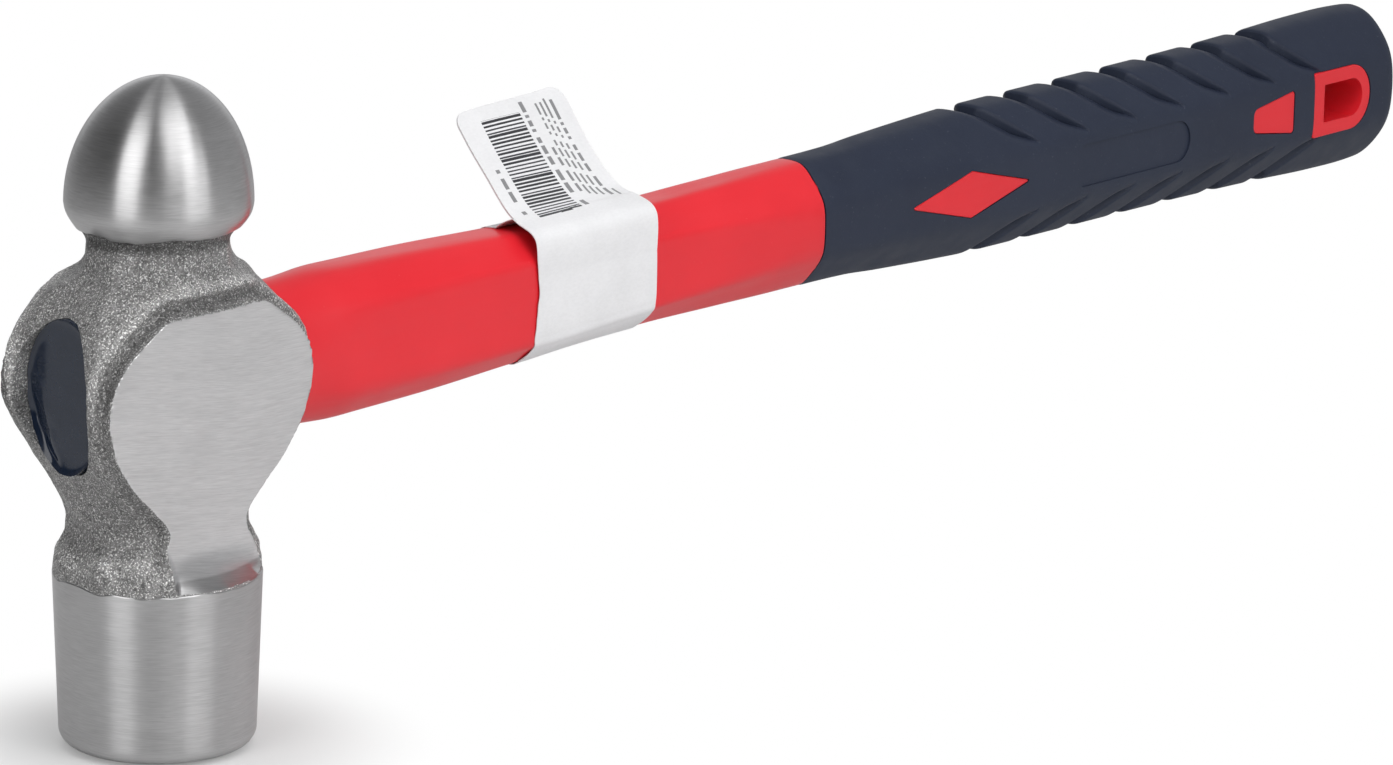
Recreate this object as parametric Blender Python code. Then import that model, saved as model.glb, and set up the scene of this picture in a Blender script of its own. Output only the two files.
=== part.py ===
"""Ball peen hammer with an epoxy-bonded fibreglass handle.

The origin is the centre of the striking face. The head runs along Z, with the striking face down and the ball
up, and the handle runs along +X. Every dimension below is in millimetres, and heights are measured from the
handle's axis; the objects are then raised so that the striking face lies in the plane z = 0.
"""

import math

import bpy
import numpy as np

METRES_PER_MM = 0.001
FIT_GAP = 0.3  # clearance between neighbouring pieces

# Striking end (poll), a slightly tapered cylinder with a rounded edge.
FACE_Z = -65.1
POLL_EDGE_Z = -34.2
POLL_TOP_RADIUS = 18.2
POLL_BOTTOM_RADIUS = 17.2
FACE_EDGE_RADIUS = 2.9

# Ball end, a prolate half-ellipsoid on a short bevel.
BALL_LOW_Z = 26.55
BALL_LOW_RADIUS = 13.95
BALL_WIDEST_Z = 30.8
BALL_RADIUS = 16.25
BALL_HEIGHT = 21.65
BALL_BEVEL_BULGE = 0.7

# Forged body between them: height, half-length along X, half-width along Y, and the section's squareness
# (2 is round, 5 is nearly a box).
BODY_STATIONS = [
    (-33.9, 18.2, 18.2, 2.0),
    (-31.2, 18.05, 18.05, 2.0),
    (-28.8, 16.8, 16.8, 2.0),
    (-26.4, 15.7, 15.7, 2.0),
    (-24.5, 15.5, 15.5, 2.0),
    (-22.5, 15.9, 15.7, 2.1),
    (-18.2, 17.25, 16.1, 3.0),
    (-13.0, 20.8, 16.75, 4.5),
    (-6.7, 24.35, 17.7, 5.5),
    (0.0, 25.85, 18.2, 5.5),
    (4.8, 25.6, 16.5, 5.5),
    (8.9, 24.5, 15.3, 5.5),
    (12.7, 22.4, 14.3, 5.0),
    (15.9, 19.55, 13.6, 4.3),
    (18.6, 16.3, 12.9, 3.0),
    (21.2, 13.6, 12.6, 2.2),
    (23.9, 12.9, 12.6, 2.0),
]

# Ground cheeks: nearly flat, leaning out a little towards the ball, ending in a fillet on the poll.
CHEEK_HALF_WIDTH = 13.4
CHEEK_LEAN = 0.055
CHEEK_CROWN = 0.3
CHEEK_HALF_LENGTH = 24.7
CHEEK_TOP_Z = 19.0
CHEEK_FILLET_Z = -28.7
CHEEK_FILLET_RADIUS = 5.5

# Eye, the oval hole through the body along X.
EYE_HALF_WIDTH = 9.5
EYE_HALF_HEIGHT = 13.6
RESIN_FRONT_X = -21.4

# Oval fibreglass rod.
CORE_HALF_WIDTH = 5.4
CORE_HALF_HEIGHT = 7.9
CORE_FRONT_X = -17.2
CORE_END_X = 321.0

# Moulded jacket: position along X, half-width, half-height, half-height of its side flat, half-width of its
# top flat. Its front end is an oval plug inside the eye.
PLUG_FRONT_X = 11.5
PLUG_BACK_X = 26.5
PLUG_CLEARANCE = 0.35
OCTAGON_FROM_X = 43.0
JACKET_STATIONS = [
    (36.0, 9.4, 13.8, 8.1, 4.0),
    (43.0, 9.3, 13.6, 8.1, 4.0),
    (61.0, 9.3, 13.2, 8.05, 4.0),
    (89.0, 9.3, 12.15, 7.7, 3.8),
    (125.0, 9.3, 11.25, 6.4, 3.7),
    (144.0, 9.3, 11.6, 5.75, 3.65),
    (169.6, 9.4, 12.2, 5.1, 3.65),
]
JACKET_RING_PLACES = [PLUG_FRONT_X, PLUG_BACK_X, 31.0, 36.0, 43.0, 52.0, 61.0, 75.0, 89.0, 107.0, 125.0, 134.5]
JACKET_RING_PLACES += [144.0, 157.0, 169.6]
CREASE_SHARPNESS = 26.0
JACKET_CREASE_DEGREES = 25.0

# Narrower tail of the jacket that the grip is moulded round.
TAIL_HALF_WIDTH = 8.0
TAIL_HALF_HEIGHT = 9.6
TAIL_END_X = 353.0
TAIL_TAPER_LENGTH = 8.0
TAIL_TAPER = 0.75
TAIL_OVERLAP = 2.0
TAIL_SQUARENESS = 4.0
POCKET_OVERLAP = 5.0

# Rubber grip: position along X, half-width, half-height.
GRIP_FRONT_X = 169.9
GRIP_BUTT_X = 360.6
GRIP_STATIONS = [
    (169.9, 9.45, 12.25),
    (182.0, 10.15, 12.4),
    (191.6, 10.6, 13.05),
    (209.8, 10.9, 14.0),
    (222.0, 10.9, 14.45),
    (287.0, 10.9, 14.95),
    (316.0, 10.9, 15.55),
    (337.0, 10.9, 16.3),
    (354.0, 10.9, 16.5),
]
GRIP_NOSE_PLACES = [169.9, 176.0, 182.0, 191.6, 201.0, 209.8]
GRIP_HEEL_PLACES = [328.0, 336.0, 342.0, 348.0, 353.6]
GRIP_SIDE_FLAT = 0.45  # share of the half-height
GRIP_TOP_FLAT = 0.36  # share of the half-width
GRIP_SHARPNESS = 14.0
BUTT_ROUND_X = 353.6
BUTT_ROUNDNESS = 2.3
BUTT_RING_SHARES = [0.25, 0.45, 0.62, 0.76, 0.87, 0.95, 0.99]

# Chevron grooves: ramps that end in a step, cut across the top and the bottom and running down the sides.
GROOVE_COUNT = 7
GROOVE_FIRST_X = 224.7
GROOVE_PITCH = 15.95
GROOVE_RAMP = 6.4
GROOVE_STEP = 0.5
GROOVE_DEPTH = 1.4
GROOVE_RAKE = 1.45
GROOVE_TOP_Z = 14.4
GROOVE_END_Z = 7.0
GROOVE_FADE = (5.8, 10.6)  # heights between which a groove gains its full depth

# Coloured bosses of the jacket that show through windows in the grip.
BOSS_HALF_WIDTH = 10.75
DIAMOND_X = 213.0
DIAMOND_HALF_LENGTH = 18.6
DIAMOND_HALF_HEIGHT = 4.65
WEDGE_FRONT_X = 306.6
WEDGE_BACK_X = 320.9
WEDGE_FRONT_HALF_HEIGHT = 2.4
WEDGE_BACK_HALF_HEIGHT = 4.5
HANG_RIM_FRONT_X = 328.1
HANG_HOLE_FRONT_X = 331.7
HANG_ARC_X = 341.5
HANG_RIM_RADIUS = 6.8
HANG_HOLE_RADIUS = 4.0

# Blank oval panel sunk into each side of the grip.
PANEL_FRONT_X = 248.0
PANEL_ARC_X = 280.2
PANEL_HALF_HEIGHT = 4.3
PANEL_DEPTH = 0.35

# Paper label: a band round the jacket whose two ends meet in a flag that stands up and leans back.
LABEL_FRONT_X = 87.2
LABEL_BACK_X = 120.2
PAPER_THICKNESS = 0.35
BORE_OVERLAP = 1.0
FLAG_TIP = (13.4, 29.3)  # Y, Z
FLAG_BEND = ((2.5, 13.0), (6.5, 18.0))
FLAG_FOOT_Y = -1.5

THROUGH_EYE = 40.0  # half-lengths of cutters that pass right through the object
THROUGH_GRIP = 20.0
HEAD_STEPS = 56
BODY_LEVELS = 28
BALL_LEVELS = 12
EDGE_LEVELS = 4
HANDLE_STEPS = 40
CORE_STEPS = 24
ARC_STEPS = 10


def clear_scene():
    for old in list(bpy.data.objects):
        bpy.data.objects.remove(old, do_unlink=True)


def material(name, colour, roughness, metallic=0.0):
    """A Principled material from a 0-255 display colour."""
    shade = bpy.data.materials.new(name)
    shade.use_nodes = True
    linear = [(channel / 255) ** 2.2 for channel in colour]
    principled = shade.node_tree.nodes["Principled BSDF"]
    principled.inputs["Base Color"].default_value = (*linear, 1.0)
    principled.inputs["Roughness"].default_value = roughness
    principled.inputs["Metallic"].default_value = metallic
    shade.diffuse_color = (*linear, 1.0)
    return shade


# Curves and sections


def profile(stations):
    """A smooth curve with no overshoot through stations of (position, value, value, ...)."""
    table = np.array(stations, float)
    knots = table[:, 0]
    values = table[:, 1:]
    slopes = np.diff(values, axis=0) / np.diff(knots)[:, None]
    before = slopes[:-1]
    after = slopes[1:]
    steady = before * after > 0
    tangents = np.zeros_like(values)
    total = np.where(steady, before + after, 1.0)
    tangents[1:-1] = np.where(steady, 2 * before * after / total, 0.0)

    def at(position):
        last = len(knots) - 2
        i = int(np.clip(np.searchsorted(knots, position) - 1, 0, last))
        span = knots[i + 1] - knots[i]
        u = float(np.clip((position - knots[i]) / span, 0.0, 1.0))
        start = (1 + 2 * u) * (1 - u) ** 2 * values[i] + u * (1 - u) ** 2 * span * tangents[i]
        end = u * u * (3 - 2 * u) * values[i + 1] + u * u * (u - 1) * span * tangents[i + 1]
        return start + end

    return at


def smooth_step(low, high, value):
    share = min(max((value - low) / (high - low), 0.0), 1.0)
    return share * share * (3 - 2 * share)


def angles(steps):
    return [2 * math.pi * (i + 0.5) / steps for i in range(steps)]


def oval_radius(angle, half_width, half_height, power=2.0):
    """Distance from the centre to a superellipse, in the direction of angle."""
    across = abs(math.cos(angle)) / half_width
    along = abs(math.sin(angle)) / half_height
    return (across**power + along**power) ** (-1 / power)


def octagon_radius(angle, half_width, half_height, side_flat, top_flat, sharpness):
    """Distance from the centre to an eight-sided section with softened corners."""
    rise = half_height - side_flat
    run = half_width - top_flat
    length = math.hypot(rise, run)
    slant = (half_width * rise + side_flat * run) / length
    across = abs(math.cos(angle))
    along = abs(math.sin(angle))
    facets = (across / half_width, along / half_height, (across * rise + along * run) / (length * slant))
    return sum(facet**sharpness for facet in facets) ** (-1 / sharpness)


# Mesh building


def new_object(name, points, faces, shade=None):
    """A mesh object from points in millimetres, with its faces turned outwards."""
    mesh = bpy.data.meshes.new(name)
    mesh.from_pydata([[c * METRES_PER_MM for c in point] for point in points], [], faces)
    made = bpy.data.objects.new(name, mesh)
    made.location.z = -FACE_Z * METRES_PER_MM
    bpy.context.scene.collection.objects.link(made)
    if shade:
        mesh.materials.append(shade)
    return made


def loft(name, rings, shade=None, tip=None):
    """A closed solid through rings of equal length. It ends at the last ring, or at one tip point."""
    steps = len(rings[0])
    points = [point for ring in rings for point in ring]
    faces = [list(range(steps))[::-1]]
    for base in range(0, (len(rings) - 1) * steps, steps):
        for i in range(steps):
            j = (i + 1) % steps
            faces.append([base + i, base + j, base + steps + j, base + steps + i])
    top = (len(rings) - 1) * steps
    if tip is None:
        faces.append([top + i for i in range(steps)])
    else:
        points.append(tip)
        faces += [[top + i, top + (i + 1) % steps, len(points) - 1] for i in range(steps)]
    return new_object(name, points, faces, shade)


def prism_x(name, outline, x_low, x_high, shade=None):
    """A prism along X. The outline is a list of (y, z), counter-clockwise when seen from +X."""
    rings = [[(x, y, z) for y, z in outline] for x in (x_low, x_high)]
    return loft(name, rings, shade)


def prism_y(name, outline, y_low, y_high):
    """A prism along Y. The outline is a list of (x, z), counter-clockwise when seen from -Y."""
    rings = [[(x, y, z) for x, z in outline] for y in (y_high, y_low)]
    return loft(name, rings)


def combine(target, other, operation):
    """Applies a helper solid to the target with an exact Boolean, and hides the helper."""
    modifier = target.modifiers.new(other.name, "BOOLEAN")
    modifier.operation = operation
    modifier.solver = "EXACT"
    modifier.object = other
    other.hide_render = True
    other.display_type = "WIRE"


def shade_round(target, crease_degrees=35.0):
    target.data.shade_smooth()
    target.data.set_sharp_from_angle(angle=math.radians(crease_degrees))


# Outlines


def oval_outline(half_width, half_height, steps, power=2.0):
    outline = []
    for angle in angles(steps):
        radius = oval_radius(angle, half_width, half_height, power)
        outline.append((radius * math.cos(angle), radius * math.sin(angle)))
    return outline


def diamond_outline(grow=0.0):
    """A long diamond, grown outwards by the same distance on all four sides."""
    slant = math.hypot(DIAMOND_HALF_LENGTH, DIAMOND_HALF_HEIGHT)
    half_length = DIAMOND_HALF_LENGTH + grow * slant / DIAMOND_HALF_HEIGHT
    half_height = DIAMOND_HALF_HEIGHT + grow * slant / DIAMOND_HALF_LENGTH
    return [
        (DIAMOND_X - half_length, 0.0),
        (DIAMOND_X, -half_height),
        (DIAMOND_X + half_length, 0.0),
        (DIAMOND_X, half_height),
    ]


def wedge_outline(grow=0.0):
    front = WEDGE_FRONT_X - grow
    back = WEDGE_BACK_X + grow
    low = WEDGE_FRONT_HALF_HEIGHT + grow
    high = WEDGE_BACK_HALF_HEIGHT + grow
    return [(front, -low), (back, -high), (back, high), (front, low)]


def d_outline(front_x, arc_x, half_height, grow=0.0):
    """A capital-D shape: straight at its front, round at its back."""
    radius = half_height + grow
    outline = [(front_x - grow, radius), (front_x - grow, -radius)]
    for i in range(ARC_STEPS + 1):
        angle = math.pi * (i / ARC_STEPS - 0.5)
        outline.append((arc_x + radius * math.cos(angle), radius * math.sin(angle)))
    return outline


# Head

body_section = profile(BODY_STATIONS)


def cheek_limit(x, z):
    """Half-width that grinding leaves at this place on the body."""
    crown = CHEEK_CROWN * (1 - (x / CHEEK_HALF_LENGTH) ** 2)
    limit = CHEEK_HALF_WIDTH + CHEEK_LEAN * z + crown
    drop = min(max(CHEEK_FILLET_Z - z, 0.0), CHEEK_FILLET_RADIUS)
    return limit + CHEEK_FILLET_RADIUS - math.sqrt(CHEEK_FILLET_RADIUS**2 - drop**2)


def body_ring(z):
    half_length, half_width, squareness = body_section(z)
    ring = []
    for angle in angles(HEAD_STEPS):
        radius = oval_radius(angle, half_length, half_width, squareness)
        x = radius * math.cos(angle)
        y = radius * math.sin(angle)
        limit = cheek_limit(x, z)
        if z < CHEEK_TOP_Z and abs(y) > limit:
            x *= limit / abs(y)
            y = math.copysign(limit, y)
        ring.append((x, y, z))
    return ring


def round_ring(radius, z):
    return [(radius * math.cos(a), radius * math.sin(a), z) for a in angles(HEAD_STEPS)]


def poll_rings():
    corner_z = FACE_Z + FACE_EDGE_RADIUS
    corner_radius = POLL_BOTTOM_RADIUS - FACE_EDGE_RADIUS
    rings = []
    for turn in np.linspace(0.0, math.pi / 2, EDGE_LEVELS):
        radius = corner_radius + FACE_EDGE_RADIUS * math.sin(turn)
        rings.append(round_ring(radius, corner_z - FACE_EDGE_RADIUS * math.cos(turn)))
    rings.append(round_ring(POLL_TOP_RADIUS, POLL_EDGE_Z))
    return rings


def ball_rings():
    bevel_radius = 0.5 * (BALL_LOW_RADIUS + BALL_RADIUS) + BALL_BEVEL_BULGE
    rings = [round_ring(BALL_LOW_RADIUS, BALL_LOW_Z)]
    rings.append(round_ring(bevel_radius, 0.5 * (BALL_LOW_Z + BALL_WIDEST_Z)))
    for turn in np.linspace(0.0, math.pi / 2, BALL_LEVELS)[:-1]:
        rings.append(round_ring(BALL_RADIUS * math.cos(turn), BALL_WIDEST_Z + BALL_HEIGHT * math.sin(turn)))
    return rings


def build_head(shade):
    low, high = BODY_STATIONS[0][0], BODY_STATIONS[-1][0]
    levels = np.linspace(low, high, BODY_LEVELS)
    rings = poll_rings() + [body_ring(z) for z in levels] + ball_rings()
    head = loft("hammer_head", rings, shade, tip=(0.0, 0.0, BALL_WIDEST_Z + BALL_HEIGHT))
    eye = oval_outline(EYE_HALF_WIDTH, EYE_HALF_HEIGHT, HANDLE_STEPS)
    combine(head, prism_x("eye_cutter", eye, -THROUGH_EYE, THROUGH_EYE), "DIFFERENCE")
    shade_round(head)


# Handle


def core_outline(grow=0.0):
    return oval_outline(CORE_HALF_WIDTH + grow, CORE_HALF_HEIGHT + grow, CORE_STEPS)


def build_core(shade):
    core = prism_x("fibreglass_core", core_outline(), CORE_FRONT_X, CORE_END_X, shade)
    shade_round(core)


def build_resin(shade):
    plug = oval_outline(EYE_HALF_WIDTH - FIT_GAP, EYE_HALF_HEIGHT - FIT_GAP, HANDLE_STEPS)
    resin = prism_x("eye_resin", plug, RESIN_FRONT_X, PLUG_FRONT_X - FIT_GAP, shade)
    socket_back = PLUG_FRONT_X + POCKET_OVERLAP
    socket = prism_x("resin_socket", core_outline(FIT_GAP), CORE_FRONT_X - FIT_GAP, socket_back)
    combine(resin, socket, "DIFFERENCE")
    shade_round(resin)


jacket_section = profile(JACKET_STATIONS)


def jacket_ring(x, grow=0.0):
    """The jacket's section at x: an oval at the plug, an octagon by the first station."""
    width, height, side_flat, top_flat = jacket_section(x)
    share = smooth_step(PLUG_BACK_X, OCTAGON_FROM_X, x)
    ring = []
    for angle in angles(HANDLE_STEPS):
        oval = oval_radius(angle, EYE_HALF_WIDTH - PLUG_CLEARANCE, EYE_HALF_HEIGHT - PLUG_CLEARANCE)
        octagon = octagon_radius(angle, width, height, side_flat, top_flat, CREASE_SHARPNESS)
        radius = grow + oval * (1 - share) + octagon * share
        ring.append((x, radius * math.cos(angle), radius * math.sin(angle)))
    return ring


def tail_rings(grow=0.0):
    """The part of the jacket inside the grip: a rounded box, tapering at its end."""
    stations = (
        (GRIP_FRONT_X - TAIL_OVERLAP, 1.0),
        (TAIL_END_X - TAIL_TAPER_LENGTH, 1.0),
        (TAIL_END_X + grow, TAIL_TAPER),
    )
    rings = []
    for x, scale in stations:
        width = TAIL_HALF_WIDTH * scale + grow
        height = TAIL_HALF_HEIGHT * scale + grow
        outline = oval_outline(width, height, CORE_STEPS, TAIL_SQUARENESS)
        rings.append([(x, y, z) for y, z in outline])
    return rings


def build_jacket(shade):
    jacket = loft("handle_jacket", [jacket_ring(x) for x in JACKET_RING_PLACES], shade)
    combine(jacket, loft("jacket_tail", tail_rings()), "UNION")
    outlines = {
        "diamond_boss": diamond_outline(),
        "wedge_boss": wedge_outline(),
        "hang_rim": d_outline(HANG_RIM_FRONT_X, HANG_ARC_X, HANG_RIM_RADIUS),
    }
    for name, outline in outlines.items():
        combine(jacket, prism_y(name, outline, -BOSS_HALF_WIDTH, BOSS_HALF_WIDTH), "UNION")
    pocket_front = PLUG_FRONT_X - POCKET_OVERLAP
    pocket = prism_x("core_pocket", core_outline(FIT_GAP), pocket_front, CORE_END_X + FIT_GAP)
    combine(jacket, pocket, "DIFFERENCE")
    hole = d_outline(HANG_HOLE_FRONT_X, HANG_ARC_X, HANG_HOLE_RADIUS)
    combine(jacket, prism_y("hang_hole", hole, -THROUGH_GRIP, THROUGH_GRIP), "DIFFERENCE")
    shade_round(jacket, JACKET_CREASE_DEGREES)


# Grip

grip_section = profile(GRIP_STATIONS)


def groove_lean(along):
    """How fully the rings follow the chevrons: not at all at the grip's two ends."""
    last_step_x = GROOVE_FIRST_X + (GROOVE_COUNT - 1) * GROOVE_PITCH
    rise = smooth_step(GRIP_FRONT_X, GROOVE_FIRST_X - 2 * GROOVE_RAMP, along)
    fall = smooth_step(last_step_x + GROOVE_RAMP, BUTT_ROUND_X, along)
    return rise * (1 - fall)


def grip_ring(along, depth=0.0, scale=1.0):
    """One ring of the grip. Its points lean along X in chevrons, and depth sinks its top and bottom."""
    width, height = grip_section(along)
    ring = []
    for angle in angles(HANDLE_STEPS):
        side_flat = GRIP_SIDE_FLAT * height
        top_flat = GRIP_TOP_FLAT * width
        radius = octagon_radius(angle, width, height, side_flat, top_flat, GRIP_SHARPNESS) * scale
        level = abs(radius * math.sin(angle))
        radius -= depth * smooth_step(*GROOVE_FADE, level)
        shift = GROOVE_RAKE * (GROOVE_TOP_Z - min(max(level, GROOVE_END_Z), GROOVE_TOP_Z))
        ring.append((along + shift * groove_lean(along), radius * math.cos(angle), radius * math.sin(angle)))
    return ring


def grip_rings():
    rings = [grip_ring(x) for x in GRIP_NOSE_PLACES]
    for i in range(GROOVE_COUNT):
        step_x = GROOVE_FIRST_X + i * GROOVE_PITCH
        rings.append(grip_ring(step_x - GROOVE_RAMP))
        rings.append(grip_ring(step_x - GROOVE_STEP, depth=GROOVE_DEPTH))
        rings.append(grip_ring(step_x))
    rings += [grip_ring(x) for x in GRIP_HEEL_PLACES]
    length = GRIP_BUTT_X - BUTT_ROUND_X
    for share in BUTT_RING_SHARES:
        scale = (1 - share**BUTT_ROUNDNESS) ** (1 / BUTT_ROUNDNESS)
        rings.append(grip_ring(BUTT_ROUND_X + share * length, scale=scale))
    return rings


def panel_outline():
    outline = [(PANEL_FRONT_X, PANEL_HALF_HEIGHT), (PANEL_FRONT_X, -PANEL_HALF_HEIGHT)]
    for i in range(ARC_STEPS + 1):
        angle = math.pi * (i / ARC_STEPS - 0.5)
        x = PANEL_ARC_X + PANEL_HALF_HEIGHT * math.cos(angle)
        outline.append((x, PANEL_HALF_HEIGHT * math.sin(angle)))
    return outline


def build_grip(shade):
    grip = loft("rubber_grip", grip_rings(), shade, tip=(GRIP_BUTT_X, 0.0, 0.0))
    combine(grip, loft("tail_cavity", tail_rings(FIT_GAP)), "DIFFERENCE")
    outlines = {
        "diamond_window": diamond_outline(FIT_GAP),
        "wedge_window": wedge_outline(FIT_GAP),
        "hang_window": d_outline(HANG_RIM_FRONT_X, HANG_ARC_X, HANG_RIM_RADIUS, FIT_GAP),
    }
    for name, outline in outlines.items():
        combine(grip, prism_y(name, outline, -THROUGH_GRIP, THROUGH_GRIP), "DIFFERENCE")
    floor = GRIP_STATIONS[-1][1] - PANEL_DEPTH
    combine(grip, prism_y("near_panel", panel_outline(), -THROUGH_GRIP, -floor), "DIFFERENCE")
    combine(grip, prism_y("far_panel", panel_outline(), floor, THROUGH_GRIP), "DIFFERENCE")
    shade_round(grip)


# Label


def flag_outline():
    """The curved flag as a thin strip in the YZ plane, its foot sunk into the band."""
    foot = (FLAG_FOOT_Y, jacket_section(LABEL_FRONT_X)[1] + FIT_GAP)
    handles = [foot, *FLAG_BEND, FLAG_TIP]
    line = []
    for i in range(ARC_STEPS + 1):
        u = i / ARC_STEPS
        weights = ((1 - u) ** 3, 3 * u * (1 - u) ** 2, 3 * u * u * (1 - u), u**3)
        line.append([sum(w * point[axis] for w, point in zip(weights, handles)) for axis in (0, 1)])
    line = np.array(line)
    along = np.gradient(line, axis=0)
    along /= np.linalg.norm(along, axis=1)[:, None]
    normal = np.stack([along[:, 1], -along[:, 0]], axis=1) * PAPER_THICKNESS
    return [tuple(p) for p in line + normal] + [tuple(p) for p in (line - normal)[::-1]]


def build_label(shade):
    places = (LABEL_FRONT_X, 0.5 * (LABEL_FRONT_X + LABEL_BACK_X), LABEL_BACK_X)
    outer = [jacket_ring(x, FIT_GAP + PAPER_THICKNESS) for x in places]
    label = loft("paper_label", outer, shade)
    flag = prism_x("label_flag", flag_outline(), LABEL_FRONT_X, LABEL_BACK_X)
    combine(label, flag, "UNION")
    inside = (LABEL_FRONT_X - BORE_OVERLAP, *places, LABEL_BACK_X + BORE_OVERLAP)
    combine(label, loft("label_bore", [jacket_ring(x, FIT_GAP) for x in inside]), "DIFFERENCE")
    shade_round(label)


def main():
    clear_scene()
    build_head(material("forged_steel", (150, 150, 154), 0.38, 1.0))
    build_resin(material("epoxy_resin", (62, 70, 80), 0.35))
    build_core(material("fibreglass", (214, 206, 176), 0.5))
    build_jacket(material("red_polypropylene", (222, 30, 40), 0.35))
    build_grip(material("black_rubber", (46, 54, 66), 0.6))
    build_label(material("label_paper", (236, 236, 238), 0.7))


main()
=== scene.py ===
"""Ball peen hammer: the visual model, its materials, the studio and the camera.

Shapes are worked out in millimetres, with heights measured from the handle's axis, and are put in the
frame's metres when each mesh is made. Near is the side that faces -Y, and front is the end with the head.
"""

import math

import bmesh
import bpy
import numpy as np
from mathutils import Matrix, Vector, kdtree, noise


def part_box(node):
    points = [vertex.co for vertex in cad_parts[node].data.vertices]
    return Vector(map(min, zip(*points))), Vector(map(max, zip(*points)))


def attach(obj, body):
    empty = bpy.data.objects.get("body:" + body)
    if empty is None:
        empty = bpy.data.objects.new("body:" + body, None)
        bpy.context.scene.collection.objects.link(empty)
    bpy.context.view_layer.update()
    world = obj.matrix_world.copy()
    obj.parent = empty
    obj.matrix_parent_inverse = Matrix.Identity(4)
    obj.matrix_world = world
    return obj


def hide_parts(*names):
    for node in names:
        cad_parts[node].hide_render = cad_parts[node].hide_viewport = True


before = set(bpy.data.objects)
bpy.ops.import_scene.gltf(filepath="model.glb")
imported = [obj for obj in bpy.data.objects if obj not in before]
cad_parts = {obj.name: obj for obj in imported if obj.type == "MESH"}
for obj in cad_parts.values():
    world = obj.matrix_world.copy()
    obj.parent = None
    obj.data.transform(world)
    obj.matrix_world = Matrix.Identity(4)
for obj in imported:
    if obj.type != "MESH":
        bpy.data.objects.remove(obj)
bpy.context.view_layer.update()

MM = 0.001
SLIVER = 1e-6  # metres


def node_box(node):
    """The lowest and highest corner of a CAD node, in millimetres."""
    low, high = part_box(node)
    return np.array(low) / MM, np.array(high) / MM


HEAD_LOW, HEAD_HIGH = node_box("hammer_head")
RESIN_LOW, RESIN_HIGH = node_box("eye_resin")
JACKET_FRONT_X = node_box("handle_jacket")[0][0]
GRIP_LOW, GRIP_HIGH = node_box("rubber_grip")
LABEL_FRONT_X, LABEL_BACK_X = (corner[0] for corner in node_box("paper_label"))

AXIS_Z = 0.5 * (RESIN_LOW[2] + RESIN_HIGH[2])
AXIS = np.array([0.0, 0.0, AXIS_Z])
FACE_Z = HEAD_LOW[2] - AXIS_Z
BALL_TOP_Z = HEAD_HIGH[2] - AXIS_Z

# Head
POLL_EDGE_Z = -34.2
POLL_TOP_RADIUS = 18.2
POLL_BOTTOM_RADIUS = 17.2
FACE_EDGE_RADIUS = 2.9
BALL_LOW_Z = 26.55
BALL_LOW_RADIUS = 13.95
BALL_WIDEST_Z = 30.8
BALL_RADIUS = 16.25
# The forged body: height, half-length, half-width, squareness.
BODY_STATIONS = [
    (-34.2, 18.2, 18.2, 2.0),
    (-31.2, 18.05, 18.05, 2.0),
    (-28.8, 16.8, 16.8, 2.0),
    (-26.4, 15.7, 15.7, 2.0),
    (-24.5, 15.5, 15.5, 2.0),
    (-22.5, 15.9, 15.7, 2.1),
    (-18.2, 17.25, 16.1, 3.0),
    (-13.0, 20.8, 16.75, 4.5),
    (-6.7, 24.35, 17.7, 5.5),
    (0.0, 25.85, 18.2, 5.5),
    (4.8, 25.6, 16.5, 5.5),
    (8.9, 24.5, 15.3, 5.5),
    (12.7, 22.4, 14.3, 5.0),
    (15.9, 19.55, 13.6, 4.3),
    (18.6, 16.85, 13.0, 3.0),
    (21.2, 13.3, 12.9, 2.0),
    (23.2, 12.9, 12.5, 2.0),
    (25.0, 12.75, 12.75, 2.0),
    (26.55, 13.2, 13.2, 2.0),
]
# The upper body's eight facets: height, half-length, half-width, and how far the end and the side facets
# reach from their middle, first on the near side and then on the far side.
FACET_STATIONS = [
    (0.0, 25.85, 18.2, 10.2, 23.4, 12.1, 20.5),
    (3.3, 25.7, 17.3, 10.1, 22.4, 12.0, 20.4),
    (7.8, 24.6, 16.0, 9.5, 19.2, 11.0, 19.6),
    (11.2, 23.0, 15.2, 8.4, 15.2, 9.8, 17.5),
    (14.2, 20.6, 14.4, 7.0, 11.9, 9.0, 15.0),
    (16.2, 18.7, 14.05, 6.0, 9.8, 8.2, 12.9),
    (17.3, 17.7, 13.4, 5.5, 8.8, 6.9, 11.0),
    (18.4, 16.4, 12.7, 5.0, 7.3, 5.4, 8.9),
    (19.4, 15.0, 12.5, 4.3, 5.8, 3.9, 6.1),
    (21.0, 14.2, 12.4, 3.9, 4.8, 3.7, 4.8),
    (25.5, 13.3, 12.6, 3.8, 4.4, 3.8, 4.4),
]
FACET_SHARPNESS = 55.0
FORGING_LEAN = 1.6  # how much higher the near side's lower curve sits than the far side's
FAR_LOSS = 1.6  # hollow at the front of the far side, below the eye's middle
BACK_LOSS = 0.9  # how much shorter the upper body is at its back
BALL_DRIFT = 1.0
# The heights over which the head's features start and end.
LEAN_START = (-26.0, -16.0)
LEAN_END = (-4.0, 4.0)
FACETS_START = (-4.0, 3.0)
FACETS_END = (24.0, 26.2)
BACK_LOSS_START = (5.0, 11.0)
BACK_LOSS_END = (16.0, 19.0)
FAR_LOSS_PLACE = (-8.5, 6.0)  # height, spread
FORGING_GRAIN = [(0.30, 0.16), (0.10, 0.42), (0.03, 1.0)]  # height, and waves to a millimetre
WAVE_GRAIN = [(0.45, 2.1), (0.2, 6.0)]  # height, and waves to a radian
POLL_WAVE_SEED = 11
BALL_WAVE_SEED = 21
BALL_WAVE_SHARE = 0.8
LUMP_RADIUS = 17.5
LUMP_OVER_EDGE = 0.6  # how far a lump pushes the poll's ragged edge down
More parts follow.
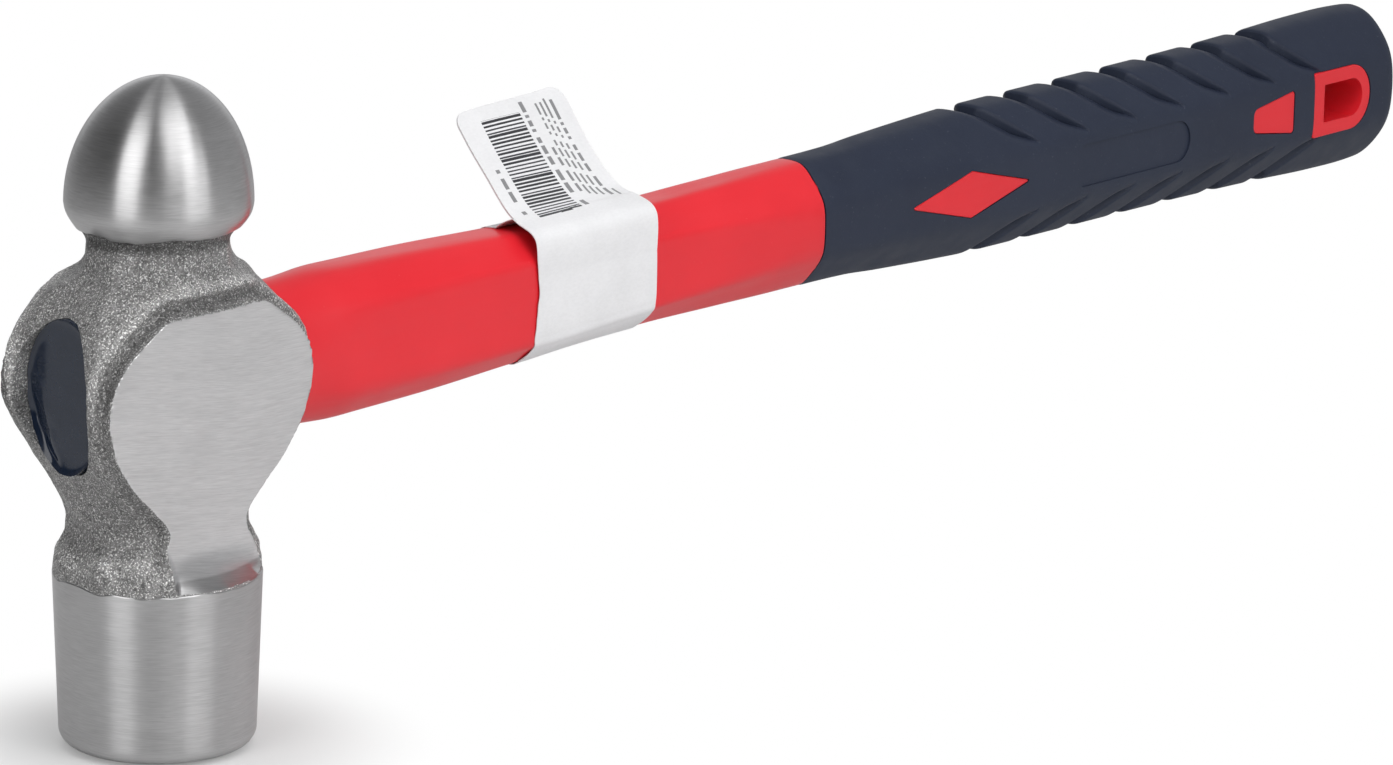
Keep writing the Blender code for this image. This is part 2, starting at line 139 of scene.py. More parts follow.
# Lumps and hollows of the forging: bearing in degrees, height, spread round the body, spread in height, rise.
FORGING_LUMPS = [
    (-148, -30.2, 2.4, 1.9, 1.0),
    (-169, -30.4, 1.1, 2.8, 0.8),
    (-159, -31.0, 1.7, 1.8, -0.7),
    (-136, -31.4, 1.9, 2.0, -1.0),
    (-44, -31.2, 2.2, 2.0, -0.7),
    (172, -30.0, 1.8, 2.4, -0.5),
    (152, -30.2, 2.2, 2.0, 0.8),
    (136, -31.2, 1.9, 2.0, -0.8),
    (38, -30.4, 2.2, 2.2, 0.7),
    (8, -30.0, 2.6, 2.4, -0.5),
    (-20, -30.6, 2.0, 2.0, 0.7),
]
# The hollow just outside the ground cheek and the ridge beyond it: distance from the cheek, spread, rise.
CHEEK_HOLLOW = (1.7, 1.2, -1.35)
CHEEK_RIDGE = (3.9, 1.1, 0.8)
CHEEK_HALF_WIDTH = 13.4
CHEEK_LEAN = 0.055
CHEEK_CROWN = 0.3
CHEEK_HALF_LENGTH = 24.7
CHEEK_FILLET_Z = -27.4
CHEEK_FILLET_RADIUS = 17.7
CHEEK_FILLET_POWER = 2.3
CHEEK_GUARD = 4.5  # how fast the cheek's front edge climbs back to the forged skin beside the poll
CHEEK_GUARD_START = (9.7, 11.5)  # distances in front of the poll's axis
CHEEK_GUARD_END = (-28.5, -26.0)  # heights
CREASE_POWER = 160.0
BRUSH_SLOPE = 0.16  # the brushing on the cheek climbs towards the back, and bends over
BRUSH_BEND = 0.0035
HEAD_STEPS = 400
HEAD_LEVELS = 190
MOST_MARGIN = 3.0  # where the head's mesh stops counting how far it is from an edge of the grinding
EYE_HALF_WIDTH = 9.5
EYE_NEAR_HALF_WIDTH = 8.4  # at the front, where the near wall is thicker
EYE_HALF_HEIGHT = 13.6
EYE_LIP = 0.7
EYE_STEPS = 200
EYE_GRAIN = [(0.16, 0.5), (0.08, 1.3)]  # height, and waves to a millimetre
THROUGH_HEAD_X = 34.0
RESIN_GAP = 0.02
RESIN_CREEP = 0.55  # how far the resin climbs the wall of the eye
RESIN_HOLLOW = 1.1
RESIN_STEPS = 160

# Handle
# The jacket: position, half-width, half-height, and how far the side and the top facets reach from their
# middle.
JACKET_STATIONS = [
    (36.0, 9.4, 13.8, 8.1, 4.0),
    (43.0, 9.3, 13.6, 8.1, 4.0),
    (61.0, 9.3, 13.2, 8.05, 4.0),
    (89.0, 9.3, 12.15, 7.7, 3.8),
    (125.0, 9.3, 11.25, 6.4, 3.7),
    (144.0, 9.3, 11.6, 5.75, 3.65),
    (169.6, 9.4, 12.2, 5.1, 3.65),
]
PLUG_BACK_X = 26.5
PLUG_GAP = 0.3
OCTAGON_FROM_X = 43.0
TAIL_HALF_WIDTH = 8.0
TAIL_HALF_HEIGHT = 9.6
TAIL_END_X = 353.0
TAIL_TAPER_LENGTH = 8.0
TAIL_TAPER = 0.75
TAIL_STEPS = 48
HANDLE_STEPS = 176
END_DRAW = 0.985  # how far the last ring of a moulding is drawn in
# The grip: position, half-width, half-height.
GRIP_STATIONS = [
    (169.9, 9.45, 12.25),
    (182.0, 10.15, 12.4),
    (191.6, 10.6, 13.05),
    (209.8, 10.9, 14.0),
    (222.0, 10.9, 14.45),
    (287.0, 10.9, 14.95),
    (316.0, 10.9, 15.55),
    (337.0, 10.9, 16.3),
    (354.0, 10.9, 16.5),
]
GRIP_SIDE_FLAT = 0.45  # share of the half-height
GRIP_TOP_FLAT = 0.36  # share of the half-width
GRIP_FRONT_SIDE_FLAT = 5.1  # at the grip's front these two are lengths, to match the jacket's
GRIP_FRONT_TOP_FLAT = 3.65
GRIP_FULL_X = 186.0
GRIP_OVER_SECTION = 0.06
GRIP_STEPS = 192
BUTT_ROUND_X = 353.6
BUTT_ROUNDNESS = 2.9
GROOVE_COUNT = 7
GROOVE_FIRST_X = 224.7
GROOVE_PITCH = 15.95
GROOVE_RAMP = 6.4
GROOVE_DEPTH = 1.9
GROOVE_WALL = 0.45  # width of the steep wall, and depth at which its lip starts
GROOVE_FADE = (5.8, 10.6)  # heights from the handle's axis over which a groove gains its full depth
# Where the grip's rings stand about each groove's step.
GROOVE_PLACES = [-6.4, -5.6, -4.8, -4.0, -3.2, -2.4, -1.7, -1.1, -0.7, -0.46, -0.4, -0.3, -0.2, -0.1,
                 0.02, 0.1, 0.22, 0.4, 0.65, 1.0, 2.2, 3.6, 5.0, 6.4, 7.8, 9.2]
GROOVE_RAKE = 1.45
GROOVE_TOP_Z = 14.4
GROOVE_END_Z = 7.0
DIAMOND_X = 213.0
DIAMOND_HALF_LENGTH = 18.6
DIAMOND_HALF_HEIGHT = 4.65
WEDGE_FRONT_X = 306.6
WEDGE_BACK_X = 320.9
WEDGE_FRONT_HALF_HEIGHT = 2.4
WEDGE_BACK_HALF_HEIGHT = 4.5
HANG_RIM_FRONT_X = 328.1
HANG_HOLE_FRONT_X = 331.7
HANG_ARC_X = 341.5
HANG_RIM_RADIUS = 6.8
HANG_HOLE_RADIUS = 4.0
PANEL_FRONT_X = 248.0
PANEL_ARC_X = 280.2
PANEL_HALF_HEIGHT = 4.3
PANEL_DEPTH = 0.3
BOSS_FACE_Y = 10.8
BOSS_BEVEL = 0.12
WINDOW_GAP = 0.1
THROUGH_GRIP_Y = 20.0
HANDLE_RISE = 0.0052  # slope of the handle, which climbs very slightly towards its butt
HANDLE_LEVEL_X = 215.0

# Label
PAPER = 0.16
# The near ply's path (y, z) up the jacket's near side and into the flag, at the label's front and back edges.
FRONT_PATH = [(-9.5, 4.0), (-9.7, 8.2), (-9.3, 11.2), (-7.8, 13.0), (-4.7, 14.1), (-2.3, 15.5), (0.2, 18.0),
              (2.7, 20.9), (5.2, 23.6), (7.7, 26.4), (9.6, 28.8), (12.0, 31.6)]
BACK_PATH = [(-9.5, 4.0), (-9.7, 8.2), (-9.5, 11.2), (-8.1, 12.9), (-4.6, 14.0), (-0.7, 14.9), (3.0, 17.5),
             (6.3, 20.8), (9.8, 25.2), (12.6, 29.1), (14.8, 31.9)]
LABEL_EDGE_GRAIN = [(0.7, 1.6), (0.3, 4.0)]  # distance, and waves to a radian
PATH_SAMPLES = 90
BAND_STEPS = 240
BAND_RINGS = 36
BAND_LEAVES = 14.5  # length of the path at which the band turns away from the flag
BAND_LIFT = 0.07
BAND_GAP = 0.10
BAND_SLACK = 0.32  # beyond the softened section, whose sharpness is BAND_SHARPNESS
BAND_SHARPNESS = 13.0
BAND_FALL = 9.0  # how fast the bridge drops back to the jacket, to a radian
FLAG_FOOT = 11.0  # length of the path at which the flag starts, inside the band
FLAG_CORNER = 3.2
FLAG_CURL = 0.3
FLAG_COLUMNS = 44
BARS_OVER = (6.2, 18.2)
BARS_ALONG = (13.2, 35.6)
BARS_PER_MM = 1.35
BAR_SEED = 7.0
DASHES_PER_MM = 1.7
DASH_GAP_SHARE = 0.24
RULE_SEED = 11.0
RULE_INK = 0.72
# The printed rules: distance from the front edge, width, and where they start and end along the path.
RULES = [
    (3.2, 1.1, 15.0, 25.5), (19.2, 1.2, 13.5, 37.5), (21.9, 0.8, 17.5, 27.5), (23.6, 0.6, 14.5, 36.5),
    (25.0, 0.6, 14.0, 36.5), (26.4, 0.6, 14.0, 37.0), (28.0, 0.9, 14.0, 36.5), (29.9, 0.6, 14.0, 17.0),
]


# Curves


def profile(stations):
    """A smooth curve with no overshoot through stations of (position, value, value, ...), for arrays."""
    table = np.array(stations, float)
    knots = table[:, 0]
    values = table[:, 1:]
    slopes = np.diff(values, axis=0) / np.diff(knots)[:, None]
    before = slopes[:-1]
    after = slopes[1:]
    steady = before * after > 0
    total = np.where(steady, before + after, 1.0)
    tangents = np.zeros_like(values)
    tangents[1:-1] = np.where(steady, 2 * before * after / total, 0.0)

    def at(position):
        position = np.asarray(position, float)
        i = np.clip(np.searchsorted(knots, position) - 1, 0, len(knots) - 2)
        span = (knots[i + 1] - knots[i])[..., None]
        u = np.clip((position - knots[i])[..., None] / span, 0.0, 1.0)
        start = (1 + 2 * u) * (1 - u) ** 2 * values[i] + u * (1 - u) ** 2 * span * tangents[i]
        end = u * u * (3 - 2 * u) * values[i + 1] + u * u * (u - 1) * span * tangents[i + 1]
        return np.moveaxis(start + end, -1, 0)

    return at


def smooth_step(low, high, value):
    share = np.clip((value - low) / (high - low), 0.0, 1.0)
    return share * share * (3 - 2 * share)


def fall_step(low, high, value):
    return 1 - smooth_step(low, high, value)


def turn_angles(steps):
    return 2 * np.pi * (np.arange(steps) + 0.5) / steps


def bell(value, centre, spread):
    return np.exp(-(((value - centre) / spread) ** 2))


def oval_radius(angle, half_width, half_height, power=2):
    """Distance from the centre to an oval section, squarer for a higher power."""
    across = (np.abs(np.cos(angle)) / half_width) ** power
    along = (np.abs(np.sin(angle)) / half_height) ** power
    return (across + along) ** (-1 / power)


def octagon_radius(angle, half_width, half_height, side_flat, top_flat, sharpness):
    """Distance from the centre to an eight-sided section with softened corners."""
    rise = half_height - side_flat
    run = half_width - top_flat
    length = np.hypot(rise, run)
    slant = (half_width * rise + side_flat * run) / length
    across = np.abs(np.cos(angle))
    along = np.abs(np.sin(angle))
    facets = (across / half_width, along / half_height, (across * rise + along * run) / (length * slant))
    return sum(facet**sharpness for facet in facets) ** (-1 / sharpness)


def around_x(x, radius, angle):
    return np.stack([x + 0 * radius, radius * np.cos(angle), radius * np.sin(angle)], axis=-1)


def around_z(radius, angle, z):
    return np.stack([radius * np.cos(angle), radius * np.sin(angle), z + 0 * angle], axis=-1)


def grain(points, scale, seed):
    """Smooth noise from about -1 to 1 at every point of an (..., 3) array."""
    points = np.asarray(points)
    shifted = points.reshape(-1, 3) * scale + seed * np.array([17.3, 5.1, 9.7])
    return np.array([noise.noise(Vector(p)) for p in shifted]).reshape(points.shape[:-1])


def layered_grain(points, layers, seed):
    """The sum of layers of noise, each with its own height and scale."""
    return sum(height * grain(points, scale, seed + i) for i, (height, scale) in enumerate(layers))


# Meshes


def mesh_object(name, points, faces):
    """A mesh object from points in millimetres with heights from the handle's axis."""
    placed = (np.asarray(points, float).reshape(-1, 3) + AXIS) * MM
    mesh = bpy.data.meshes.new(name)
    mesh.from_pydata(placed.tolist(), [], faces)
    mesh.update()
    made = bpy.data.objects.new(name, mesh)
    bpy.context.scene.collection.objects.link(made)
    return made


def ring_faces(count, steps, closed=False):
    """Quads between successive rings; closed also joins the last ring to the first."""
    faces = []
    for row in range(count if closed else count - 1):
        base = row * steps
        above = ((row + 1) % count) * steps
        for i in range(steps):
            j = (i + 1) % steps
            faces.append((base + i, base + j, above + j, above + i))
    return faces


def loft(name, rings, low_tip=None, high_tip=None):
    """A closed solid through rings (count, steps, 3), with a flat end or a tip point at each end."""
    rings = np.asarray(rings, float)
    count, steps = rings.shape[:2]
    points = list(rings.reshape(-1, 3))
    faces = ring_faces(count, steps)
    last = (count - 1) * steps
    for tip, ends in ((low_tip, range(steps)[::-1]), (high_tip, range(last, last + steps))):
        if tip is None:
            faces.append(tuple(ends))
        else:
            faces += [(ends[i - 1], ends[i], len(points)) for i in range(steps)]
            points.append(np.array(tip, float))
    return mesh_object(name, points, faces)


def prism_y(name, outline, y_low, y_high, bevel=0.0):
    """A prism along Y, its two faces drawn in by a small bevel. The outline is (x, z) seen from -Y."""
    outline = np.asarray(outline, float)
    ahead = np.roll(outline, -1, axis=0) - outline
    ahead /= np.linalg.norm(ahead, axis=1)[:, None]
    side = ahead + np.roll(ahead, 1, axis=0)
    side /= np.linalg.norm(side, axis=1)[:, None]
    inward = np.stack([-side[:, 1], side[:, 0]], axis=1)
    cosine = np.einsum("ij,ij->i", inward, np.stack([-ahead[:, 1], ahead[:, 0]], axis=1))
    inner = outline + inward * bevel / np.maximum(cosine, 0.3)[:, None]
    rings = []
    for y, line in ((y_high, inner), (y_high - bevel, outline), (y_low + bevel, outline), (y_low, inner)):
        rings.append(np.stack([line[:, 0], np.full(len(line), y), line[:, 1]], axis=1))
    if bevel == 0.0:
        rings = [rings[0], rings[3]]
    return loft(name, rings)


def combine(target, other, operation, solver="MANIFOLD"):
    """Applies a helper solid to the target and removes the helper."""
    modifier = target.modifiers.new("helper", "BOOLEAN")
    modifier.operation = operation
    modifier.solver = solver
    modifier.object = other
    graph = bpy.context.evaluated_depsgraph_get()
    made = bpy.data.meshes.new_from_object(target.evaluated_get(graph))
    target.modifiers.clear()
    target.data = made
    bpy.data.objects.remove(other, do_unlink=True)


def positions(target):
    """The vertices of an object in millimetres, with heights from the handle's axis."""
    places = np.empty(len(target.data.vertices) * 3, np.float32)
    target.data.vertices.foreach_get("co", places)
    return places.reshape(-1, 3).astype(float) / MM - AXIS


def store(target, name, values):
    attribute = target.data.attributes.new(name, "FLOAT", "POINT")
    attribute.data.foreach_set("value", np.asarray(values, np.float32))


def raise_handle(piece):
    """Lifts a piece of the handle by its slight rise."""
    for vertex in piece.data.vertices:
        vertex.co.z += HANDLE_RISE * (vertex.co.x - HANDLE_LEVEL_X * MM)


def clean(piece):
    """Merges the slivers that cutting leaves, and turns the faces outwards."""
    shape = bmesh.new()
    shape.from_mesh(piece.data)
    bmesh.ops.remove_doubles(shape, verts=shape.verts, dist=SLIVER)
    bmesh.ops.dissolve_degenerate(shape, edges=shape.edges, dist=SLIVER)
    loose = [edge for edge in shape.edges if not edge.link_faces]
    bmesh.ops.delete(shape, geom=loose, context="EDGES")
    if shape.calc_volume(signed=True) < 0:
        bmesh.ops.reverse_faces(shape, faces=shape.faces)
    shape.to_mesh(piece.data)
    shape.free()


def finish_piece(piece, shade, node, crease_degrees):
    clean(piece)
    piece.data.materials.clear()
    piece.data.materials.append(shade)
    piece.data.shade_smooth()
    piece.data.set_sharp_from_angle(angle=math.radians(crease_degrees))
    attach(piece, "root")
    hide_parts(node)


# Node helpers


class Shader:
    """A small helper for building the node tree of a material or of the world."""

    def __init__(self, owner, output="ShaderNodeOutputMaterial"):
        owner.use_nodes = True
        self.owner = owner
        self.tree = owner.node_tree
        self.tree.nodes.clear()
        self.output = self.tree.nodes.new(output)

    def node(self, kind, inputs=None, **settings):
        made = self.tree.nodes.new(kind)
        for key, value in settings.items():
            setattr(made, key, value)
        for key, value in (inputs or {}).items():
            self.feed(made.inputs[key], value)
        return made

    def feed(self, socket, value):
        if isinstance(value, bpy.types.NodeSocket):
            self.tree.links.new(value, socket)
        else:
            socket.default_value = value

    def math(self, operation, *values):
        return self.node("ShaderNodeMath", dict(enumerate(values)), operation=operation).outputs[0]

    def vector_math(self, operation, *values, result="Vector"):
        made = self.node("ShaderNodeVectorMath", dict(enumerate(values)), operation=operation)
        return made.outputs[result]

    def attribute(self, name):
        return self.node("ShaderNodeAttribute", attribute_name=name).outputs["Fac"]

    def place(self):
        """The point being shaded, in millimetres in the row frame."""
        geometry = self.node("ShaderNodeNewGeometry")
        return self.vector_math("MULTIPLY", geometry.outputs["Position"], (1000.0, 1000.0, 1000.0))

    def noise(self, place, scale, detail=2.0, roughness=0.5):
        """Noise from 0 to 1 at a scale in cycles per millimetre."""
        inputs = {"Vector": place, "Scale": scale, "Detail": detail, "Roughness": roughness}
        return self.node("ShaderNodeTexNoise", inputs).outputs["Fac"]

    def spread(self, value, low_in, high_in, low_out, high_out, kind="LINEAR"):
        """Maps one range of values onto another, and holds what lies beyond at its ends."""
        inputs = dict(zip(("Value", "From Min", "From Max", "To Min", "To Max"),
                          (value, low_in, high_in, low_out, high_out)))
        return self.node("ShaderNodeMapRange", inputs, interpolation_type=kind).outputs[0]

    def vary(self, value, low, high):
        """Maps the middle part of a noise onto a range."""
        return self.spread(value, 0.3, 0.7, low, high)

    def specks(self, place, scale, low, high, detail=2.0):
        """Small spots where a noise passes a threshold."""
        return self.spread(self.noise(place, scale, detail), low, high, 0.0, 1.0)

    def blend(self, share, first, second):
        inputs = {"Factor": share, "A": first, "B": second}
        return self.node("ShaderNodeMix", inputs, data_type="RGBA").outputs["Result"]

    def mix_surfaces(self, share, first, second):
        return self.node("ShaderNodeMixShader", {0: share, 1: first, 2: second}).outputs[0]

    def colour(self, tone, green=1.0, blue=1.0):
        """A near-grey colour, its green and blue given as shares of its red."""
        parts = {
            "Red": tone,
            "Green": self.math("MULTIPLY", tone, green),
            "Blue": self.math("MULTIPLY", tone, blue),
        }
        return self.node("ShaderNodeCombineColor", parts).outputs[0]

    def bump(self, height, distance, strength=1.0, normal=None):
        """A bump whose height runs 0-1 over a distance in millimetres."""
        inputs = {"Height": height, "Distance": distance * MM, "Strength": strength}
        if normal is not None:
            inputs["Normal"] = normal
        return self.node("ShaderNodeBump", inputs).outputs["Normal"]

    def principled(self, **inputs):
        made = self.node("ShaderNodeBsdfPrincipled")
        for key, value in inputs.items():
            self.feed(made.inputs[key.replace("_", " ")], value)
        return made.outputs["BSDF"]

    def done(self, surface):
        self.tree.links.new(surface, self.output.inputs["Surface"])
        return self.owner


# Materials


def ground_steel(s, place):
    """Brushed steel, its scratches running level with the lay that the head's mesh carries."""
    lay = s.attribute("lay")
    flatten = s.vector_math("MULTIPLY", place, (1.0, 1.0, 0.0))
    across = s.node("ShaderNodeCombineXYZ", {"Z": lay}).outputs[0]
    brushed_place = s.vector_math("ADD", flatten, across)

    def streaks(along, over, detail):
        stretched = s.vector_math("MULTIPLY", brushed_place, (along, along, over))
        return s.noise(stretched, 1.0, detail, 0.6)

    fine = streaks(0.28, 6.0, 2.0)
    medium = streaks(0.12, 1.6, 2.0)
    broad = streaks(0.03, 0.25, 2.0)
    scratch = s.spread(streaks(0.15, 6.5, 1.0), 0.68, 0.75, 0.0, 1.0)
    blotch = s.noise(place, 0.09)
    tone = s.math("ADD", s.spread(fine, 0.25, 0.75, -0.065, 0.065), s.vary(medium, -0.015, 0.015))
    tone = s.math("ADD", tone, s.vary(broad, -0.012, 0.012))
    tone = s.math("ADD", tone, s.vary(blotch, 0.53, 0.57))
    tone = s.math("SUBTRACT", tone, s.math("MULTIPLY", scratch, 0.05))
    # Painted reflection: the ground cheek's tone is raised by half for the brighter light it reflects.
    tone = s.math("MULTIPLY", tone, s.spread(s.attribute("cheek"), 0.0, 1.0, 1.0, 1.5))
    ground_roughness = s.spread(fine, 0.25, 0.75, 0.32, 0.38)
    normal = s.node("ShaderNodeNewGeometry").outputs["Normal"]
    round_about = s.vector_math("CROSS_PRODUCT", (0.0, 0.0, 1.0), normal)
    upward = s.vector_math("NORMALIZE", s.vector_math("CROSS_PRODUCT", normal, round_about))
    return s.principled(
        Base_Color=s.colour(tone, green=0.995), Metallic=1.0, Roughness=ground_roughness, Anisotropic=0.88,
        Tangent=upward, Normal=s.bump(fine, 0.006),
    )


def rough_steel(s, place):
    """Pitted forged steel, with painted highlights on its ridges and painted shade in its hollows."""
    coarse = s.noise(place, 0.35, 3.0)
    pitted = s.noise(place, 1.7, 4.0, 0.65)
    crystals = s.node("ShaderNodeTexVoronoi", {"Vector": place, "Scale": 2.6, "Randomness": 1.0})
    glint = s.specks(place, 3.4, 0.56, 0.68, 1.0)
    tone = s.math("ADD", s.vary(pitted, 0.09, 0.33), s.vary(coarse, -0.03, 0.03))
    tone = s.math("ADD", tone, s.math("MULTIPLY", glint, 0.45))
    # Painted light and shade: lighter on lit ridges, darker in shaded hollows and under the ball.
    tone = s.math("MULTIPLY", tone, s.spread(s.attribute("painted_light_and_shade"), -1.0, 1.0, 0.36, 1.74))
    pits = s.bump(pitted, 0.36)
    return s.principled(
        Base_Color=s.colour(tone, green=0.99, blue=0.98), Metallic=0.35, Roughness=s.vary(pitted, 0.52, 0.36),
        Normal=s.bump(crystals.outputs["Distance"], 0.10, 1.0, pits),
    )


def steel_material():
    """Brushed steel where the grinding reached, rough forged steel elsewhere, with a ragged line between."""
    s = Shader(bpy.data.materials.new("forged_steel"))
    place = s.place()
    ragged = s.spread(s.noise(place, 1.3, 3.0), 0.25, 0.75, -0.07, 0.07)
    share = s.spread(s.math("ADD", s.attribute("ground"), ragged), 0.02, 0.10, 0.0, 1.0)
    return s.done(s.mix_surfaces(share, rough_steel(s, place), ground_steel(s, place)))


def resin_material():
    s = Shader(bpy.data.materials.new("epoxy_resin"))
    place = s.place()
    cloud = s.noise(place, 0.25)
    colour = s.blend(cloud, (0.007, 0.013, 0.028, 1), (0.014, 0.022, 0.042, 1))
    dust = s.math("MULTIPLY", s.specks(place, 2.4, 0.66, 0.74), 0.25)
    colour = s.blend(dust, colour, (0.08, 0.09, 0.1, 1))
    ripple = s.bump(s.noise(place, 0.35), 0.05, 0.6)
    shine = s.vary(cloud, 0.10, 0.16)
    return s.done(s.principled(Base_Color=colour, Roughness=shine, IOR=1.56, Normal=ripple))


def red_material():
    s = Shader(bpy.data.materials.new("red_plastic"))
    place = s.place()
    cloud = s.noise(place, 0.06)
    colour = s.blend(cloud, (0.70, 0.012, 0.022, 1), (0.80, 0.020, 0.032, 1))
    dust = s.math("MULTIPLY", s.specks(place, 1.3, 0.72, 0.78), 0.12)
    colour = s.blend(dust, colour, (0.9, 0.25, 0.22, 1))
    flow = s.vector_math("MULTIPLY", place, (0.04, 0.25, 0.25))
    waves = s.bump(s.noise(flow, 1.0), 0.25, 0.5)
    return s.done(s.principled(
        Base_Color=colour, Roughness=s.vary(cloud, 0.32, 0.4), IOR=1.49, Subsurface_Weight=0.12,
        Subsurface_Radius=(0.004, 0.001, 0.001), Subsurface_Scale=1.0,
        Normal=s.bump(s.noise(place, 1.6), 0.012, 0.8, waves),
    ))


def rubber_material():
    s = Shader(bpy.data.materials.new("grip_rubber"))
    place = s.place()
    cloud = s.noise(place, 0.05, 3.0)
    wear = s.noise(place, 0.22, 3.0)
    dust = s.math("MULTIPLY", s.specks(place, 1.9, 0.67, 0.76), 0.18)
    colour = s.blend(cloud, (0.0140, 0.0195, 0.038, 1), (0.0195, 0.0270, 0.051, 1))
    colour = s.blend(s.spread(wear, 0.45, 0.75, 0.0, 0.35), colour, (0.026, 0.034, 0.056, 1))
    colour = s.blend(dust, colour, (0.16, 0.17, 0.19, 1))
    skin = s.bump(s.noise(place, 2.2, 3.0), 0.02)
    return s.done(s.principled(Base_Color=colour, Roughness=s.vary(wear, 0.50, 0.60), IOR=1.42, Normal=skin))


def printed_ink(s):
    """Bars and broken rules, with no lettering, on the near side of the flag: 1 where there is ink."""
    along = s.attribute("print_s")
    over = s.attribute("print_x")

    def between(value, low, high):
        return s.math("MULTIPLY", s.math("GREATER_THAN", value, low), s.math("LESS_THAN", value, high))

    def hashed(value, seed):
        """A random number from 0 to 1 for each whole number."""
        inputs = {"W": s.math("ADD", s.math("FLOOR", value), seed)}
        return s.node("ShaderNodeTexWhiteNoise", inputs, noise_dimensions="1D").outputs[0]

    cell = s.math("MULTIPLY", along, BARS_PER_MM)
    width = s.spread(hashed(cell, BAR_SEED), 0.0, 1.0, 0.32, 0.86)
    bar = s.math("LESS_THAN", s.math("FRACT", cell), width)
    block = s.math("MULTIPLY", between(over, *BARS_OVER), between(along, *BARS_ALONG))
    ink = s.math("MULTIPLY", bar, block)
    for row, (place_x, width, low, high) in enumerate(RULES):
        rule = between(over, place_x, place_x + width)
        dash = hashed(s.math("MULTIPLY", along, DASHES_PER_MM), RULE_SEED + row)
        line = s.math("MULTIPLY", rule, s.math("GREATER_THAN", dash, DASH_GAP_SHARE))
        line = s.math("MULTIPLY", line, between(along, low, high))
        ink = s.math("MAXIMUM", ink, s.math("MULTIPLY", line, RULE_INK))
    return s.math("MULTIPLY", ink, s.math("GREATER_THAN", s.attribute("print_near"), 0.5))


def paper_material():
    s = Shader(bpy.data.materials.new("label_paper"))
    place = s.place()
    ink = printed_ink(s)
    fibre = s.noise(s.vector_math("MULTIPLY", place, (1.0, 2.0, 2.0)), 1.2, 4.0)
    tone = s.math("ADD", s.vary(fibre, 0.76, 0.80), s.vary(s.noise(place, 0.12), -0.02, 0.02))
    return s.done(s.principled(
        Base_Color=s.blend(ink, s.colour(tone, blue=1.015), (0.035, 0.035, 0.04, 1)),
        Roughness=s.spread(ink, 0.0, 1.0, 0.5, 0.35), IOR=1.45, Normal=s.bump(fibre, 0.02, 0.8),
    ))


def fibreglass_material():
    s = Shader(bpy.data.materials.new("fibreglass"))
    place = s.place()
    strands = s.noise(s.vector_math("MULTIPLY", place, (0.05, 3.0, 3.0)), 1.0, 3.0)
    colour = s.blend(strands, (0.42, 0.36, 0.20, 1), (0.72, 0.68, 0.50, 1))
    return s.done(s.principled(
        Base_Color=colour, Roughness=s.vary(strands, 0.4, 0.55), Normal=s.bump(strands, 0.05),
    ))


# Head

body_section = profile(BODY_STATIONS)
facet_section = profile(FACET_STATIONS)


def turned_from(angle, bearing):
    """How far an angle is turned from a bearing in degrees, up to half a turn either way."""
    return (angle - math.radians(bearing) + np.pi) % (2 * np.pi) - np.pi


def edge_wave(angle, seed):
    """A slow wave of about half a millimetre round the head, pushed down where a lump stands."""
    wave = layered_grain(around_z(1.0, angle, 0.0), WAVE_GRAIN, seed)
    for bearing, _, wide, _, rise in FORGING_LUMPS:
        if rise > 0:
            across = LUMP_RADIUS * turned_from(angle, bearing)
            wave = wave - LUMP_OVER_EDGE * rise * bell(across, 0.0, wide + 1.0)
    return wave


def forged_shape(angle, z):
    """Distance from the head's axis to the forged skin before grinding, without its fine unevenness."""
    sine = np.sin(angle)
    level = z - FORGING_LEAN * sine * fall_step(*LEAN_END, z) * smooth_step(*LEAN_START, z)
    radius = oval_radius(angle, *body_section(level))
    length, width, near_end, near_side, far_end, far_side = facet_section(z)
    back_loss = BACK_LOSS * smooth_step(*BACK_LOSS_START, z) * fall_step(*BACK_LOSS_END, z)
    length = length - np.where(np.cos(angle) > 0, back_loss, 0.0)
    near = octagon_radius(angle, length, width, near_end, near_side, FACET_SHARPNESS)
    far = octagon_radius(angle, length, width, far_end, far_side, FACET_SHARPNESS)
    share = smooth_step(*FACETS_START, z) * fall_step(*FACETS_END, z)
    radius = radius * (1 - share) + np.where(sine < 0, near, far) * share
    away = np.clip(-np.cos(angle + np.pi / 4), 0.0, 1.0) ** 2
    radius = radius - FAR_LOSS * away * bell(z, *FAR_LOSS_PLACE)
    for bearing, height, wide, tall, rise in FORGING_LUMPS:
        across = LUMP_RADIUS * turned_from(angle, bearing)
        radius = radius + rise * bell(across, 0.0, wide) * bell(z, height, tall)
    return radius


def ground_radius(angle, radius, z):
    """Distance from the head's axis to what grinding leaves: a crowned flat that rounds out into the poll."""
    crown = CHEEK_CROWN * (1 - (radius * np.cos(angle) / CHEEK_HALF_LENGTH) ** 2)
    flat = (CHEEK_HALF_WIDTH + CHEEK_LEAN * z + crown) / np.maximum(np.abs(np.sin(angle)), 0.02)
    share = np.clip((CHEEK_FILLET_Z - z) / (CHEEK_FILLET_Z - POLL_EDGE_Z), 0.0, 1.0) ** CHEEK_FILLET_POWER
    swept = flat + share * np.maximum(CHEEK_FILLET_RADIUS - flat, 0.0)
    front = -radius * np.cos(angle)
    return swept + CHEEK_GUARD * smooth_step(*CHEEK_GUARD_START, front) * fall_step(*CHEEK_GUARD_END, z)


def cheek_margin(angle, z):
    """How far the forged skin stood beyond the ground cheek: above 0 where it was ground."""
    radius = forged_shape(angle, z)
    return (radius - ground_radius(angle, radius, z)) * np.abs(np.sin(angle))


def crossings(values, places):
    """The points of a grid where its values pass through 0."""
    found = []
    for axis in (0, 1):
        ahead = np.roll(values, -1, axis=axis)
        beyond = np.roll(places, -1, axis=axis)
        passed = values * ahead < 0
        if axis == 0:
            passed[-1] = False
        share = (values[passed] / (values[passed] - ahead[passed]))[:, None]
        found.append(places[passed] * (1 - share) + beyond[passed] * share)
    return np.concatenate(found)


